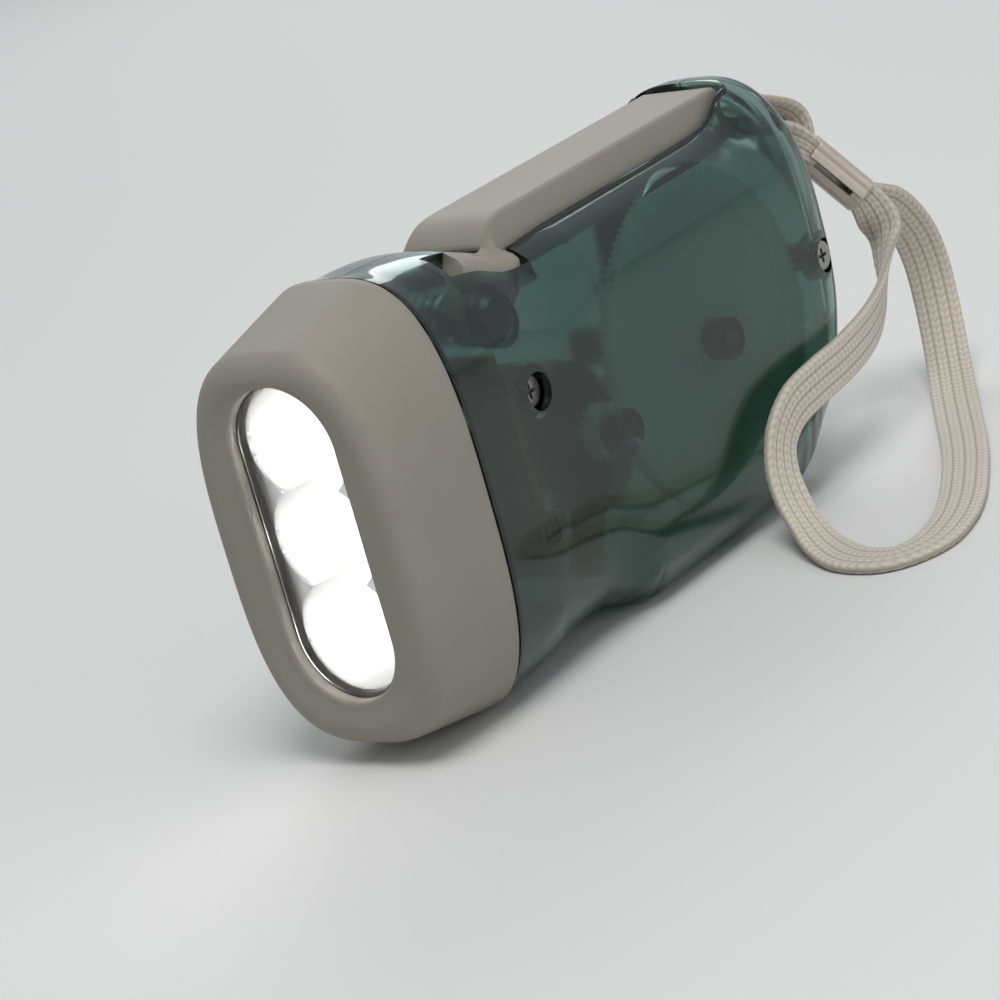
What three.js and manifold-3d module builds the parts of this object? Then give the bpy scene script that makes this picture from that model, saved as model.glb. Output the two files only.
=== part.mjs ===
// Squeeze-lever dynamo torch with a wrist strap, standing on its base.
// Millimetres, +Z up. The lamp faces -X, the hinged squeeze lever is on top
// and the wrist strap leaves the tail at +X.
import * as THREE from 'three';
import { mergeVertices } from 'three/addons/utils/BufferGeometryUtils.js';
import Module from 'manifold-3d';

const wasm = await Module();
wasm.setup();

// Every place below is measured from the centre of the lamp's front face.
// The outer group then moves the whole torch onto its base.

// Casing as a whole
const headDepth = 16.75;
const headHalfWidth = 15.4;
const headTop = 28.3;
const headBottom = 29.1;
const faceHalfWidth = 14.9;
const faceTop = 24;
const faceBottom = 25.9;
const faceEdgeRadius = 2.4;
const headSquareness = 3;
const gripHalfWidth = 14.3;
const rimTop = 23.2;
const gripBottom = 29.1;
const baseFlat = 0.2;
const tailRoom = 7.964;
const shellWall = 1.5;
const bezelWall = 1.6;
const faceWall = 2.2;

// Clearances
const gap = 0.3;
const partingGap = 0.2;
const shaftPlay = 0.15;
const toothPlay = 0.14;
const overrun = 3;

// Lamp
const windowHalfWidth = 8.2;
const windowHalfHeight = 20.4;
const lensLip = 1.2;
const lensThickness = 1.5;
const lensRaise = 0.4;
const tubeWall = 1.2;
const tubeEnd = 12;
const reflectorDepth = 15.7;
const reflectorRearInset = 0.8;
const flangeOverhang = 1.2;
const flangeThickness = 1.5;
const ledCount = 3;
const ledPitch = 12.2;
const cupRadius = 7.4;
const cupDepth = 13;
const ledHoleRadius = 2.8;
const ledRadius = 2.5;
const ledTip = 14.5;
const ledBase = 24;
const ledFlangeRadius = 2.9;
const ledFlangeThickness = 1;
const ledLegSpacing = 2.54;
const ledLegWidth = 0.5;
const boardFront = 27;
const boardThickness = 1.2;
const boardHalfWidth = 11.4;
const boardHalfHeight = 13.2;
const boardTabHalfWidth = 12.6;
const boardTabHalfHeight = 8.3;
const ribThickness = 1.1;
const ribReach = 1.3;
const ribHeight = 3;
const spigotLength = 3.75;
const spigotShoulder = 1.5;

// Lever and its hinge
const pivotX = 30.6;
const pivotZ = 17.2;
const pivotRadius = 2.2;
const pivotHalfLength = 11.5;
const trunnionBossRadius = 3.8;
const leverTop = 27;
const leverTopHalfWidth = 5.96;
const leverHalfWidth = 6.6;
const leverDraftDepth = 4.4;
const leverSkirtBottom = 19;
const leverWall = 1.6;
const leverEdgeRadius = 0.9;
const leverInset = 9.8;
const leverToe = 38;
const leverSlopeRun = 6.4;
const leverSlopeRise = 2.8;
const leverBowShare = 0.38;
const shoulderDepth = 2.6;
const shoulderWeb = 0.7;
const earInside = 6.3;
const earOutside = 9.6;
const earLowAngle = THREE.MathUtils.degToRad(-40);
const leverTravel = THREE.MathUtils.degToRad(26);

// Lever well in the casing
const wellHalfWidth = 7.1;
const wellFloor = 17.5;
const tongueHalfWidth = 5.9;
const tongueEnd = 36.8;
const tongueRadius = 9.85;
const notchHalfWidth = 10.2;
const notchFront = 26.8;

// Gear train
const rackModule = 0.5;
const rackTeethPerTurn = 172;
const ratchetTeeth = 16;
const trainModule = 0.37;
const wheelTeeth = 120;
const rotorTeeth = 18;
const addendumShare = 0.9;
const dedendumShare = 1.2;
const pressureAngle = THREE.MathUtils.degToRad(20);
const driveAngle = THREE.MathUtils.degToRad(-24.1);
const trainAngle = THREE.MathUtils.degToRad(186.1);
const rackHalfWidth = 2;
const rackBand = 4.5;
const pinionHalfWidth = 2.4;
const ratchetRadius = 6;
const ratchetToothDepth = 1.1;
const ratchetToothCount = 12;
const sleeveRadius = 3.2;
const wheelFace = 9.6;
const wheelThickness = 1.6;
const wheelWeb = 1;
const wheelRimShare = 0.84;
const wheelHubRadius = 4.5;
const cupRingInner = 9.5;
const cupRingWall = 1.5;
const cupRingInside = 4.7;
const pawlCount = 2;
const pawlPivotRadius = 7.9;
const pawlPinRadius = 0.5;
const pawlHeelRadius = 1.15;
const pawlHeelStart = THREE.MathUtils.degToRad(-149.4);
const pawlHeelEnd = THREE.MathUtils.degToRad(70.2);
const shaftRadius = 1.5;
const shaftHalfLength = 12.3;
const bossRadius = 2.83;

// Generator
const rotorShaftRadius = 1;
const rotorPinionInside = 7.2;
const magnetRadius = 7;
const magnetNear = 2;
const magnetFar = 6;
const statorBore = 7.6;
const statorRing = 9.5;
const statorNear = 3;
const statorFar = 5;
const statorAngle = THREE.MathUtils.degToRad(-25);
const coreDrop = 14.5;
const coreHeight = 3;
const coreHalfLength = 7.6;
const statorMouth = 4;
const bobbinWall = 0.7;
const bobbinHalfLength = 4.6;
const coilThickness = 1.9;
const statorPostRadius = 1.5;
const statorPostAngles = [20, 150].map((degrees) => THREE.MathUtils.degToRad(degrees));

// Fasteners and their towers
const screwFrontX = 32.1;
const screwFrontZ = 7;
const screwFrontFloor = 11.3;
const screwRearZ = 0.6;
const screwRearFloor = 11.9;
const recessRadius = 2.43;
const recessTubeRadius = 3.4;
const recessFloorThickness = 1;
const screwHeadRadius = 2;
const screwHeadHeight = 1.3;
const screwShankRadius = 1;
const screwLength = 9;
const screwHoleRadius = 1.3;
const screwPostRadius = 1.9;
const driveSlotRadius = 1;
const driveSlotDepth = 0.6;

// Lever spring
const springWire = 0.7;
const springTurns = 5;
const springHalfLength = 4.6;

// Wrist strap
const strapWidth = 6.5;
const strapThickness = 1.2;
const anchorInset = 5;
const anchorZ = 19.6;
const anchorRadius = 1.7;
const pocketHalfWidth = 5;
const pocketHalfHeight = 5.2;
const pocketDepth = 7;
const ferruleWidth = 7;
const ferruleThickness = 3.6;
const ferruleSeam = 0.5;

// Lead wires
const wireRadius = 0.5;
const leadSides = [-1, 1];
const leadAside = 1.4;
const leadHeight = 6.6;
const leadStraight = 2;

// Gear train centres: the big gear below the rack, the rotor in front of it
const driveRadius = (rackModule * (rackTeethPerTurn + ratchetTeeth)) / 2;
const wheelX = pivotX + driveRadius * Math.cos(driveAngle);
const wheelZ = pivotZ + driveRadius * Math.sin(driveAngle);
const wheelTip = (wheelTeeth * trainModule) / 2 + addendumShare * trainModule;
const trainRadius = (trainModule * (wheelTeeth + rotorTeeth)) / 2;
const rotorX = wheelX + trainRadius * Math.cos(trainAngle);
const rotorZ = wheelZ + trainRadius * Math.sin(trainAngle);

// Casing length, with its tail behind the big gear, and what is set from it
const jointX = headDepth + gap;
const bodyLength = wheelX + wheelTip + tailRoom;
const baseDepth = gripBottom - baseFlat;
const leverEnd = bodyLength - leverInset;
const tailLip = leverEnd + gap;
const anchorX = bodyLength - anchorInset;
const pocketFront = bodyLength - pocketDepth;
const screwRearX = wheelX + wheelTip + gap + screwPostRadius;

// Outlines of the lamp's glass and mould
const lampHalfWidth = windowHalfWidth + lensLip;
const lampHalfHeight = windowHalfHeight + lensLip;
const flangeHalfWidth = lampHalfWidth + flangeOverhang + gap;
const flangeHalfHeight = lampHalfHeight + flangeOverhang;

// Finish of each moulding
const COLOURS = {
  casing: [0x4d6b6c, 0.3, 0],
  grey: [0x9d958a, 0.55, 0],
  clear: [0xe6edf0, 0.08, 0],
  chrome: [0xd9dadb, 0.12, 1],
  lamp: [0xf4f2e4, 0.2, 0],
  board: [0x8c6a43, 0.6, 0],
  gear: [0xc9c6ba, 0.5, 0],
  steel: [0x9c9d9f, 0.35, 1],
  magnet: [0x37383a, 0.5, 0.3],
  iron: [0x6a6c6f, 0.45, 0.8],
  copper: [0xa85f32, 0.4, 0.8],
  wire: [0x9f2b22, 0.6, 0],
  strap: [0xd4ccbe, 0.9, 0],
};

// Geometry into a solid: shared corners are merged and collapsed faces dropped.
function solid(geometry) {
  const bare = geometry.clone();
  bare.deleteAttribute('normal');
  bare.deleteAttribute('uv');
  const merged = mergeVertices(bare);
  const corners = [];
  for (let i = 0; i < merged.index.count; i += 3) {
    const a = merged.index.getX(i);
    const b = merged.index.getX(i + 1);
    const c = merged.index.getX(i + 2);
    if (a !== b && b !== c && c !== a) corners.push(a, b, c);
  }
  return new wasm.Manifold(new wasm.Mesh({
    numProp: 3,
    vertProperties: merged.attributes.position.array,
    triVerts: new Uint32Array(corners),
  }));
}

// Solid back into geometry that a mesh can show.
function geometryOf(part) {
  const mesh = part.getMesh();
  const geometry = new THREE.BufferGeometry();
  geometry.setAttribute('position', new THREE.BufferAttribute(mesh.vertProperties, mesh.numProp));
  geometry.setIndex(new THREE.BufferAttribute(mesh.triVerts, 1));
  geometry.computeVertexNormals();
  return geometry;
}

// Several solids joined into one.
function join(parts) {
  return parts.reduce((whole, part) => whole.add(part));
}

// One solid less several others.
function carve(part, cutters) {
  return cutters.reduce((rest, cutter) => rest.subtract(cutter), part);
}

// A block between two corners.
function block(x0, x1, y0, y1, z0, z1) {
  const geometry = new THREE.BoxGeometry(x1 - x0, y1 - y0, z1 - z0);
  geometry.translate((x0 + x1) / 2, (y0 + y1) / 2, (z0 + z1) / 2);
  return solid(geometry);
}

// A round bar along Y at x, z.
function barY(radius, y0, y1, x, z, sides = 16) {
  const geometry = new THREE.CylinderGeometry(radius, radius, y1 - y0, sides);
  geometry.translate(x, (y0 + y1) / 2, z);
  return solid(geometry);
}

// A shape drawn in x, z and extruded from y0 to y1.
function plateY(shape, y0, y1, segments = 8) {
  const options = { depth: y1 - y0, bevelEnabled: false, curveSegments: segments };
  const geometry = new THREE.ExtrudeGeometry(shape, options);
  geometry.rotateX(Math.PI / 2);
  geometry.translate(0, y1, 0);
  return solid(geometry);
}

// A shape drawn in y, z and extruded from x0 to x1.
function plateX(shape, x0, x1, segments = 8) {
  const options = { depth: x1 - x0, bevelEnabled: false, curveSegments: segments };
  const geometry = new THREE.ExtrudeGeometry(shape, options);
  const turn = new THREE.Matrix4().set(0, 0, 1, x0, 1, 0, 0, 0, 0, 1, 0, 0, 0, 0, 0, 1);
  geometry.applyMatrix4(turn);
  return solid(geometry);
}

// A closed solid through rings of points that all run the same way round.
function loft(rings) {
  const count = rings[0].length;
  const places = rings.flat();
  const faces = [];
  for (let ring = 0; ring + 1 < rings.length; ring += 1) {
    for (let i = 0; i < count; i += 1) {
      const a = ring * count + i;
      const b = ring * count + ((i + 1) % count);
      faces.push(a, b, a + count, b, b + count, a + count);
    }
  }
  [rings[0], rings.at(-1)].forEach((ring, end) => {
    const first = end === 0 ? 0 : (rings.length - 1) * count;
    const middle = new THREE.Vector3();
    ring.forEach((place) => middle.addScaledVector(place, 1 / count));
    places.push(middle);
    for (let i = 0; i < count; i += 1) {
      const here = first + i;
      const next = first + ((i + 1) % count);
      if (end === 0) faces.push(places.length - 1, next, here);
      else faces.push(places.length - 1, here, next);
    }
  });
  const geometry = new THREE.BufferGeometry().setFromPoints(places);
  geometry.setIndex(faces);
  return solid(geometry);
}

// One cross-section of the casing: a rounded rectangle that follows
// |y / halfWidth|^n + |z / halfHeight|^n = 1 between its top and bottom.
function section(x, halfWidth, top, bottom, roundness, count = 28) {
  const ring = [];
  const middle = (top - bottom) / 2;
  const halfHeight = (top + bottom) / 2;
  for (let i = 0; i < count; i += 1) {
    const angle = (2 * Math.PI * i) / count;
    const across = Math.cos(angle);
    const up = Math.sin(angle);
    const y = halfWidth * Math.sign(across) * Math.abs(across) ** (2 / roundness);
    const z = middle + halfHeight * Math.sign(up) * Math.abs(up) ** (2 / roundness);
    ring.push(new THREE.Vector3(x, y, z));
  }
  return ring;
}

// A slot outline with round ends, in y and z.
function slotShape(halfWidth, halfHeight) {
  const shape = new THREE.Shape();
  const straight = halfHeight - halfWidth;
  shape.absarc(0, straight, halfWidth, 0, Math.PI, false);
  shape.absarc(0, -straight, halfWidth, Math.PI, 2 * Math.PI, false);
  return shape;
}

// A closed outline through [x, z] pairs.
function outline(pairs) {
  return new THREE.Shape(pairs.map(([x, z]) => new THREE.Vector2(x, z)));
}

// Widths and heights of the casing along its length. Each row gives the share
// of the way from the head's joint to the tail, then the half-width, the top
// and the bottom as shares of the grip's, and how square the section is.
const casingRowShares = [
  [0, 1.07, 1.211, 0.991, 3], [0.034, 1.059, 1.19, 0.988, 3], [0.08, 1.042, 1.181, 0.976, 3.1],
  [0.126, 1.021, 1.164, 0.959, 3.2], [0.166, 1.007, 1.134, 0.931, 3.2],
  [0.195, 1.003, 1.091, 0.921, 3.2], [0.224, 1, 1.047, 0.914, 3.2], [0.264, 1, 1.017, 0.911, 3.3],
  [0.295, 1, 1.003, 0.925, 3.6], [0.32, 1, 1, 0.954, 3.9], [0.345, 1, 1, 0.987, 4.2],
  [0.372, 1, 1, 1, 4.5], [0.701, 1, 1, 1, 4.5], [0.758, 1, 1.004, 0.988, 4.4],
  [0.805, 1, 1.03, 0.955, 4], [0.833, 1, 1.086, 0.921, 3.6], [0.862, 1, 1.164, 0.873, 3.3],
  [0.891, 1, 1.198, 0.814, 3.2], [0.9195, 0.993, 1.194, 0.7285, 3], [0.9425, 0.965, 1.151, 0.632, 2.9],
  [0.963, 0.909, 1.06, 0.522, 2.8], [0.979, 0.811, 0.905, 0.395, 2.7],
  [0.99, 0.671, 0.711, 0.268, 2.6], [0.9965, 0.476, 0.474, 0.131, 2.5], [1, 0.24, 0.3, -0.007, 2.4],
];

// The casing's outer skin moved inwards by an inset, as one full body.
// The tail's skin moves forward in step, from the middle of the grip on.
function casingBody(inset) {
  const reach = bodyLength - jointX;
  const rings = casingRowShares.map(([along, across, up, down, roundness]) => {
    const forward = inset * Math.max(0, 2 * along - 1);
    return section(
      jointX + along * reach - forward,
      gripHalfWidth * across - inset,
      rimTop * up - inset,
      gripBottom * down - inset,
      roundness,
    );
  });
  return loft(rings);
}

// The head's outline at x, moved inwards by an inset.
function headSection(x, inset) {
  const share = x / headDepth;
  const swell = Math.sin((Math.PI / 2) * share);
  return section(
    x,
    THREE.MathUtils.lerp(faceHalfWidth, headHalfWidth, swell) - inset,
    THREE.MathUtils.lerp(faceTop, headTop, share) - inset,
    THREE.MathUtils.lerp(faceBottom, headBottom, share) - inset,
    headSquareness,
  );
}

// The room below the flat strips that the torch stands on.
const baseCut = () => block(-overrun, bodyLength, -2 * headHalfWidth, 2 * headHalfWidth,
  -baseDepth - overrun, -baseDepth);

// Grey front ring: thin walls, a slot window and the lamp's guide tube.
function headBezel() {
  const rings = [];
  const steps = 4;
  for (let step = 0; step < steps; step += 1) {
    const angle = (Math.PI / 2) * (1 - step / (steps - 1));
    const x = faceEdgeRadius * (1 - Math.sin(angle));
    rings.push(headSection(x, faceEdgeRadius * (1 - Math.cos(angle))));
  }
  const spanShares = [0.35, 0.55, 0.78, 1];
  spanShares.forEach((share) => rings.push(headSection(headDepth * share, 0)));
  const hollow = [faceWall, headDepth / 2, headDepth].map((x) => headSection(x, bezelWall));
  hollow.push(hollow.at(-1).map((place) => place.clone().setX(headDepth + overrun)));
  const tube = plateX(
    slotShape(lampHalfWidth + gap + tubeWall, lampHalfHeight + gap + tubeWall), lensLip, tubeEnd);
  const bore = plateX(slotShape(lampHalfWidth + gap, lampHalfHeight + gap), faceWall, tubeEnd + overrun);
  const window = plateX(slotShape(windowHalfWidth, windowHalfHeight), -overrun, faceWall + overrun);
  const ring = loft(rings).subtract(loft(hollow)).add(tube);
  return carve(ring, [bore, window, baseCut()]);
}

// Clear window: a flange behind the ring's lip and a middle raised into the slot.
function lens() {
  const front = faceWall + gap;
  const flange = plateX(slotShape(lampHalfWidth, lampHalfHeight), front, front + lensThickness);
  const raised = slotShape(windowHalfWidth - gap, windowHalfHeight - gap);
  return flange.add(plateX(raised, front - lensRaise, front + lensThickness / 2));
}

const reflectorFront = faceWall + 2 * gap + lensThickness;
const ledPlaces = Array.from({ length: ledCount }, (_, i) => (i - (ledCount - 1) / 2) * ledPitch);

// One mould with a row of dished cups and a clamping flange.
function reflector() {
  const flangeFront = tubeEnd + gap;
  const rear = reflectorFront + reflectorDepth;
  const front = plateX(slotShape(lampHalfWidth, lampHalfHeight), reflectorFront, flangeFront);
  const flange = plateX(
    slotShape(flangeHalfWidth, flangeHalfHeight), flangeFront, flangeFront + flangeThickness);
  const back = plateX(
    slotShape(lampHalfWidth - reflectorRearInset, lampHalfHeight - reflectorRearInset),
    flangeFront + flangeThickness, rear);
  const depthShares = [0, 0.2, 0.5, 0.8, 1];
  const profile = [new THREE.Vector2(0, -overrun), new THREE.Vector2(cupRadius, -overrun)];
  depthShares.forEach((share) => {
    const radius = ledHoleRadius + (cupRadius - ledHoleRadius) * Math.sqrt(1 - share);
    profile.push(new THREE.Vector2(radius, cupDepth * share));
  });
  profile.push(new THREE.Vector2(ledHoleRadius, reflectorDepth + overrun));
  profile.push(new THREE.Vector2(0, reflectorDepth + overrun));
  const cups = ledPlaces.map((z) => {
    const cup = new THREE.LatheGeometry(profile, 20);
    cup.rotateZ(-Math.PI / 2);
    cup.translate(reflectorFront, 0, z);
    return solid(cup);
  });
  return carve(join([front, flange, back]), cups);
}

// A lamp with a domed tip, a base flange and two legs.
function led(z) {
  const domeSteps = 3;
  const profile = [];
  for (let step = 0; step <= domeSteps; step += 1) {
    const angle = (Math.PI / 2) * (step / domeSteps);
    profile.push(new THREE.Vector2(ledRadius * Math.sin(angle), ledRadius * (1 - Math.cos(angle))));
  }
  const length = ledBase - ledTip;
  profile.push(new THREE.Vector2(ledRadius, length - ledFlangeThickness));
  profile.push(new THREE.Vector2(ledFlangeRadius, length - ledFlangeThickness));
  profile.push(new THREE.Vector2(ledFlangeRadius, length));
  profile.push(new THREE.Vector2(0, length));
  const bulb = new THREE.LatheGeometry(profile, 12);
  bulb.rotateZ(-Math.PI / 2);
  bulb.translate(ledTip, 0, z);
  const legs = [-1, 1].map((side) => {
    const y = (side * ledLegSpacing) / 2;
    const half = ledLegWidth / 2;
    return block(ledBase - ledFlangeThickness, boardFront - gap, y - half, y + half, z - half, z + half);
  });
  return join([solid(bulb), ...legs]);
}

// Board that the lamps stand on, with a tab on each side that reaches the wall.
function ledBoard() {
  const rear = boardFront + boardThickness;
  const middle = block(boardFront, rear, -boardHalfWidth, boardHalfWidth,
    -boardHalfHeight, boardHalfHeight);
  const tabs = block(boardFront, rear, -boardTabHalfWidth, boardTabHalfWidth,
    -boardTabHalfHeight, boardTabHalfHeight);
  return middle.add(tabs);
}

// Angle that a gear flank's involute has unwound at a pressure angle.
const involute = (angle) => Math.tan(angle) - angle;

// Points of a toothed rim with involute flanks, from the tooth centred on
// startAngle through the given number of teeth, about a centre in x, z.
function toothPoints(teeth, module, drawn, startAngle, centreX, centreZ, depthSteps) {
  const pitch = (teeth * module) / 2;
  const base = pitch * Math.cos(pressureAngle);
  const root = pitch - dedendumShare * module;
  const tip = pitch + addendumShare * module;
  const halfAtPitch = Math.PI / (2 * teeth) - toothPlay / (4 * pitch);
  const flank = [];
  for (let step = 0; step <= depthSteps; step += 1) {
    const radius = root + ((tip - root) * step) / depthSteps;
    const roll = radius > base ? involute(Math.acos(base / radius)) : 0;
    flank.push([radius, halfAtPitch + involute(pressureAngle) - roll]);
  }
  const places = [];
  for (let tooth = 0; tooth < drawn; tooth += 1) {
    const middle = startAngle + (2 * Math.PI * tooth) / teeth;
    const rising = flank.map(([radius, half]) => [radius, middle - half]);
    const falling = flank.map(([radius, half]) => [radius, middle + half]).reverse();
    [...rising, ...falling].forEach(([radius, angle]) => {
      places.push([centreX + radius * Math.cos(angle), centreZ + radius * Math.sin(angle)]);
    });
  }
  return places;
}

// A round toothed plate between two y planes.
function toothedPlate(teeth, module, startAngle, x, z, y0, y1, depthSteps) {
  return plateY(outline(toothPoints(teeth, module, teeth, startAngle, x, z, depthSteps)), y0, y1);
}

// The curved rack below the lever, centred on the lever's hinge.
function leverRack() {
  const pitchRadius = (rackModule * rackTeethPerTurn) / 2;
  const tip = pitchRadius + addendumShare * rackModule;
  const toothAngle = (2 * Math.PI) / rackTeethPerTurn;
  const before = Math.ceil(leverTravel / toothAngle) + 1;
  const after = 2;
  const points = toothPoints(rackTeethPerTurn, rackModule, before + after + 1,
    driveAngle - before * toothAngle, pivotX, pivotZ, 1);
  const joinAngle = Math.asin((leverTop - gap - pivotZ) / tip);
  const lowAngle = driveAngle - (before + 1) * toothAngle;
  const solidTip = pitchRadius - dedendumShare * rackModule;
  const outside = 16;
  const rackEnd = driveAngle + (after + 1) * toothAngle;
  for (let step = 0; step <= outside; step += 1) {
    const angle = THREE.MathUtils.lerp(rackEnd, joinAngle, step / outside);
    points.push([pivotX + tip * Math.cos(angle), pivotZ + tip * Math.sin(angle)]);
  }
  const inner = tip - rackBand;
  const inside = 24;
  for (let step = 0; step <= inside; step += 1) {
    const angle = THREE.MathUtils.lerp(joinAngle, lowAngle, step / inside);
    points.push([pivotX + inner * Math.cos(angle), pivotZ + inner * Math.sin(angle)]);
  }
  points.push([pivotX + solidTip * Math.cos(lowAngle), pivotZ + solidTip * Math.sin(lowAngle)]);
  return plateY(outline(points), -rackHalfWidth, rackHalfWidth);
}

// The lever's side view moved inwards: a bowed ramp at its toe and a round heel.
function leverSide(inset, bottom) {
  const heelRadius = leverTop - leverSkirtBottom;
  const bowX = leverToe + inset + leverBowShare * leverSlopeRun;
  const shape = new THREE.Shape();
  shape.moveTo(leverToe + inset, bottom);
  shape.lineTo(leverToe + inset, leverTop - leverSlopeRise - inset);
  shape.quadraticCurveTo(bowX, leverTop - inset, leverToe + leverSlopeRun, leverTop - inset);
  shape.lineTo(leverEnd - heelRadius / 2, leverTop - inset);
  shape.absarc(leverEnd - heelRadius / 2, leverTop - heelRadius / 2, heelRadius / 2 - inset,
    Math.PI / 2, 0, true);
  shape.lineTo(leverEnd - inset, bottom);
  return shape;
}

// The lever's end view moved inwards: drafted sides and rounded top edges.
function leverEndView(inset, bottom) {
  const top = leverTop - inset;
  const radius = Math.max(leverEdgeRadius - inset, leverEdgeRadius / 2);
  const shape = new THREE.Shape();
  shape.moveTo(leverHalfWidth - inset, bottom);
  shape.lineTo(leverHalfWidth - inset, leverTop - leverDraftDepth);
  shape.lineTo(leverTopHalfWidth - inset, top - radius);
  shape.quadraticCurveTo(leverTopHalfWidth - inset, top, leverTopHalfWidth - inset - radius, top);
  shape.lineTo(-leverTopHalfWidth + inset + radius, top);
  shape.quadraticCurveTo(-leverTopHalfWidth + inset, top, -leverTopHalfWidth + inset, top - radius);
  shape.lineTo(-leverHalfWidth + inset, leverTop - leverDraftDepth);
  shape.lineTo(-leverHalfWidth + inset, bottom);
  return shape;
}

// Channel-section grip of the lever, open below.
function leverGrip() {
  const outer = plateY(leverSide(0, leverSkirtBottom), -leverHalfWidth - overrun, leverHalfWidth + overrun)
    .intersect(plateX(leverEndView(0, leverSkirtBottom), leverToe - overrun, leverEnd + overrun, 3));
  const low = leverSkirtBottom - overrun;
  const inner = plateY(leverSide(leverWall, low), -leverHalfWidth, leverHalfWidth)
    .intersect(plateX(leverEndView(leverWall, low), leverToe + shoulderDepth + shoulderWeb,
      leverEnd, 3));
  return outer.subtract(inner);
}

// Two hinge ears, flush with the casing, with the crossbar between them. Their
// front edge leans back by the lever's travel, so that it stands upright and
// just clear of the notch when the lever is open.
function leverEars() {
  const earRadius = pivotX - notchFront - gap;
  const frontTop = ((leverTop - pivotZ) * Math.sin(leverTravel) - earRadius) / Math.cos(leverTravel);
  const shoulderEnd = leverToe + shoulderDepth;
  const shoulderTop = leverTop - leverSlopeRise;
  const shape = new THREE.Shape();
  shape.absarc(pivotX, pivotZ, earRadius, Math.PI - leverTravel, earLowAngle + 2 * Math.PI, false);
  shape.lineTo(shoulderEnd, leverSkirtBottom + gap);
  shape.lineTo(shoulderEnd, leverTop);
  shape.lineTo(pivotX + frontTop, leverTop);
  const flush = casingBody(-partingGap);
  const ears = [-1, 1].map((side) => {
    const ends = [side * earInside, side * earOutside].sort((a, b) => a - b);
    return plateY(shape, ends[0], ends[1]).intersect(flush);
  });
  const shoulder = block(leverToe, shoulderEnd, -earOutside, earOutside,
    leverSkirtBottom + gap, shoulderTop).intersect(flush);
  const crossbar = barY(pivotRadius, -pivotHalfLength, pivotHalfLength, pivotX, pivotZ);
  return join([...ears, shoulder, crossbar]);
}

// The squeeze lever as one moulding: grip, ears, crossbar and curved rack.
function lever() {
  const sweep = barY(tongueRadius, -earInside, earInside, pivotX, pivotZ, 48);
  const crossbar = barY(pivotRadius, -earInside - gap, earInside + gap, pivotX, pivotZ);
  const top = leverGrip().add(leverEars()).subtract(sweep);
  return join([top, crossbar, leverRack()]);
}

const recesses = [
  { x: screwFrontX, z: screwFrontZ, floor: screwFrontFloor },
  { x: screwRearX, z: screwRearZ, floor: screwRearFloor },
];

// Skin shared by both casing halves, with the lever well, the two hinge
// notches, the strap pocket and the spigot that enters the head.
function casingSkin() {
  const spigotFront = headDepth - spigotLength;
  const fit = bezelWall + gap;
  const spigotRings = [headSection(spigotFront, fit), headSection(headDepth, fit)];
  spigotRings.push(spigotRings[1].map((place) => place.clone().setX(jointX + spigotShoulder)));
  const throat = plateX(slotShape(flangeHalfWidth + gap, flangeHalfHeight + gap),
    spigotFront - overrun, jointX + spigotShoulder + overrun);
  const front = block(0, jointX + spigotShoulder, -headHalfWidth, headHalfWidth,
    -headBottom, headTop);
  const hollow = casingBody(shellWall).subtract(front);
  const skin = casingBody(0).add(loft(spigotRings));
  const well = block(tongueEnd, tailLip, -wellHalfWidth, wellHalfWidth, wellFloor, headTop + overrun);
  const notches = block(notchFront, leverToe + shoulderDepth + shoulderWeb + gap, -notchHalfWidth,
    notchHalfWidth, wellFloor, headTop + overrun);
  const tongue = block(notchFront - overrun, tongueEnd, -tongueHalfWidth, tongueHalfWidth,
    wellFloor - overrun, headTop + 2 * overrun);
  const pocket = plateX(roundedShape(pocketHalfWidth, pocketHalfHeight, anchorZ), pocketFront,
    bodyLength + overrun);
  const wheelRoom = barY(wheelTip + gap, -wheelFace - gap, 0, wheelX, wheelZ, 48);
  const cutters = [hollow, throat, well, notches.subtract(tongue), pocket, wheelRoom, baseCut()];
  return carve(skin, cutters);
}

// A rectangle with round corners about a height, in y and z.
function roundedShape(halfWidth, halfHeight, middle) {
  const radius = halfWidth / 2;
  const shape = new THREE.Shape();
  const right = halfWidth - radius;
  const up = halfHeight - radius;
  shape.absarc(right, middle + up, radius, 0, Math.PI / 2, false);
  shape.absarc(-right, middle + up, radius, Math.PI / 2, Math.PI, false);
  shape.absarc(-right, middle - up, radius, Math.PI, 1.5 * Math.PI, false);
  shape.absarc(right, middle - up, radius, 1.5 * Math.PI, 2 * Math.PI, false);
  return shape;
}

// A tube-shaped boss on one side of the casing, closed by the wall.
function boss(side, radius, innerEnd, x, z) {
  const ends = [side * innerEnd, side * gripHalfWidth].sort((a, b) => a - b);
  return barY(radius, ends[0], ends[1], x, z);
}

// The blind bore of such a boss, deep enough for a shaft end.
function bore(side, radius, innerEnd, shaftEnd, x, z) {
  const ends = [side * (innerEnd - overrun), side * (shaftEnd + gap)].sort((a, b) => a - b);
  return barY(radius, ends[0], ends[1], x, z);
}

const shaftInside = { '-1': wheelFace + gap, 1: pinionHalfWidth + gap };
const rotorInside = { '-1': wheelFace + gap, 1: magnetFar + gap };

// Bosses, board ribs and strap post halves that one casing half carries.
function casingFittings(side) {
  const parts = [
    boss(side, trunnionBossRadius, earOutside + gap, pivotX, pivotZ),
    boss(side, bossRadius, shaftInside[side], wheelX, wheelZ),
    boss(side, bossRadius, rotorInside[side], rotorX, rotorZ),
    boss(side, anchorRadius, partingGap / 2, anchorX, anchorZ),
  ];
  const ends = [side * (boardHalfWidth - ribReach), side * gripHalfWidth].sort((a, b) => a - b);
  [boardFront - gap - ribThickness, boardFront + boardThickness + gap].forEach((x) => {
    [boardTabHalfHeight + gap, -boardTabHalfHeight - gap - ribHeight].forEach((low) => {
      parts.push(block(x, x + ribThickness, ends[0], ends[1], low, low + ribHeight));
    });
  });
  return parts;
}

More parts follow.
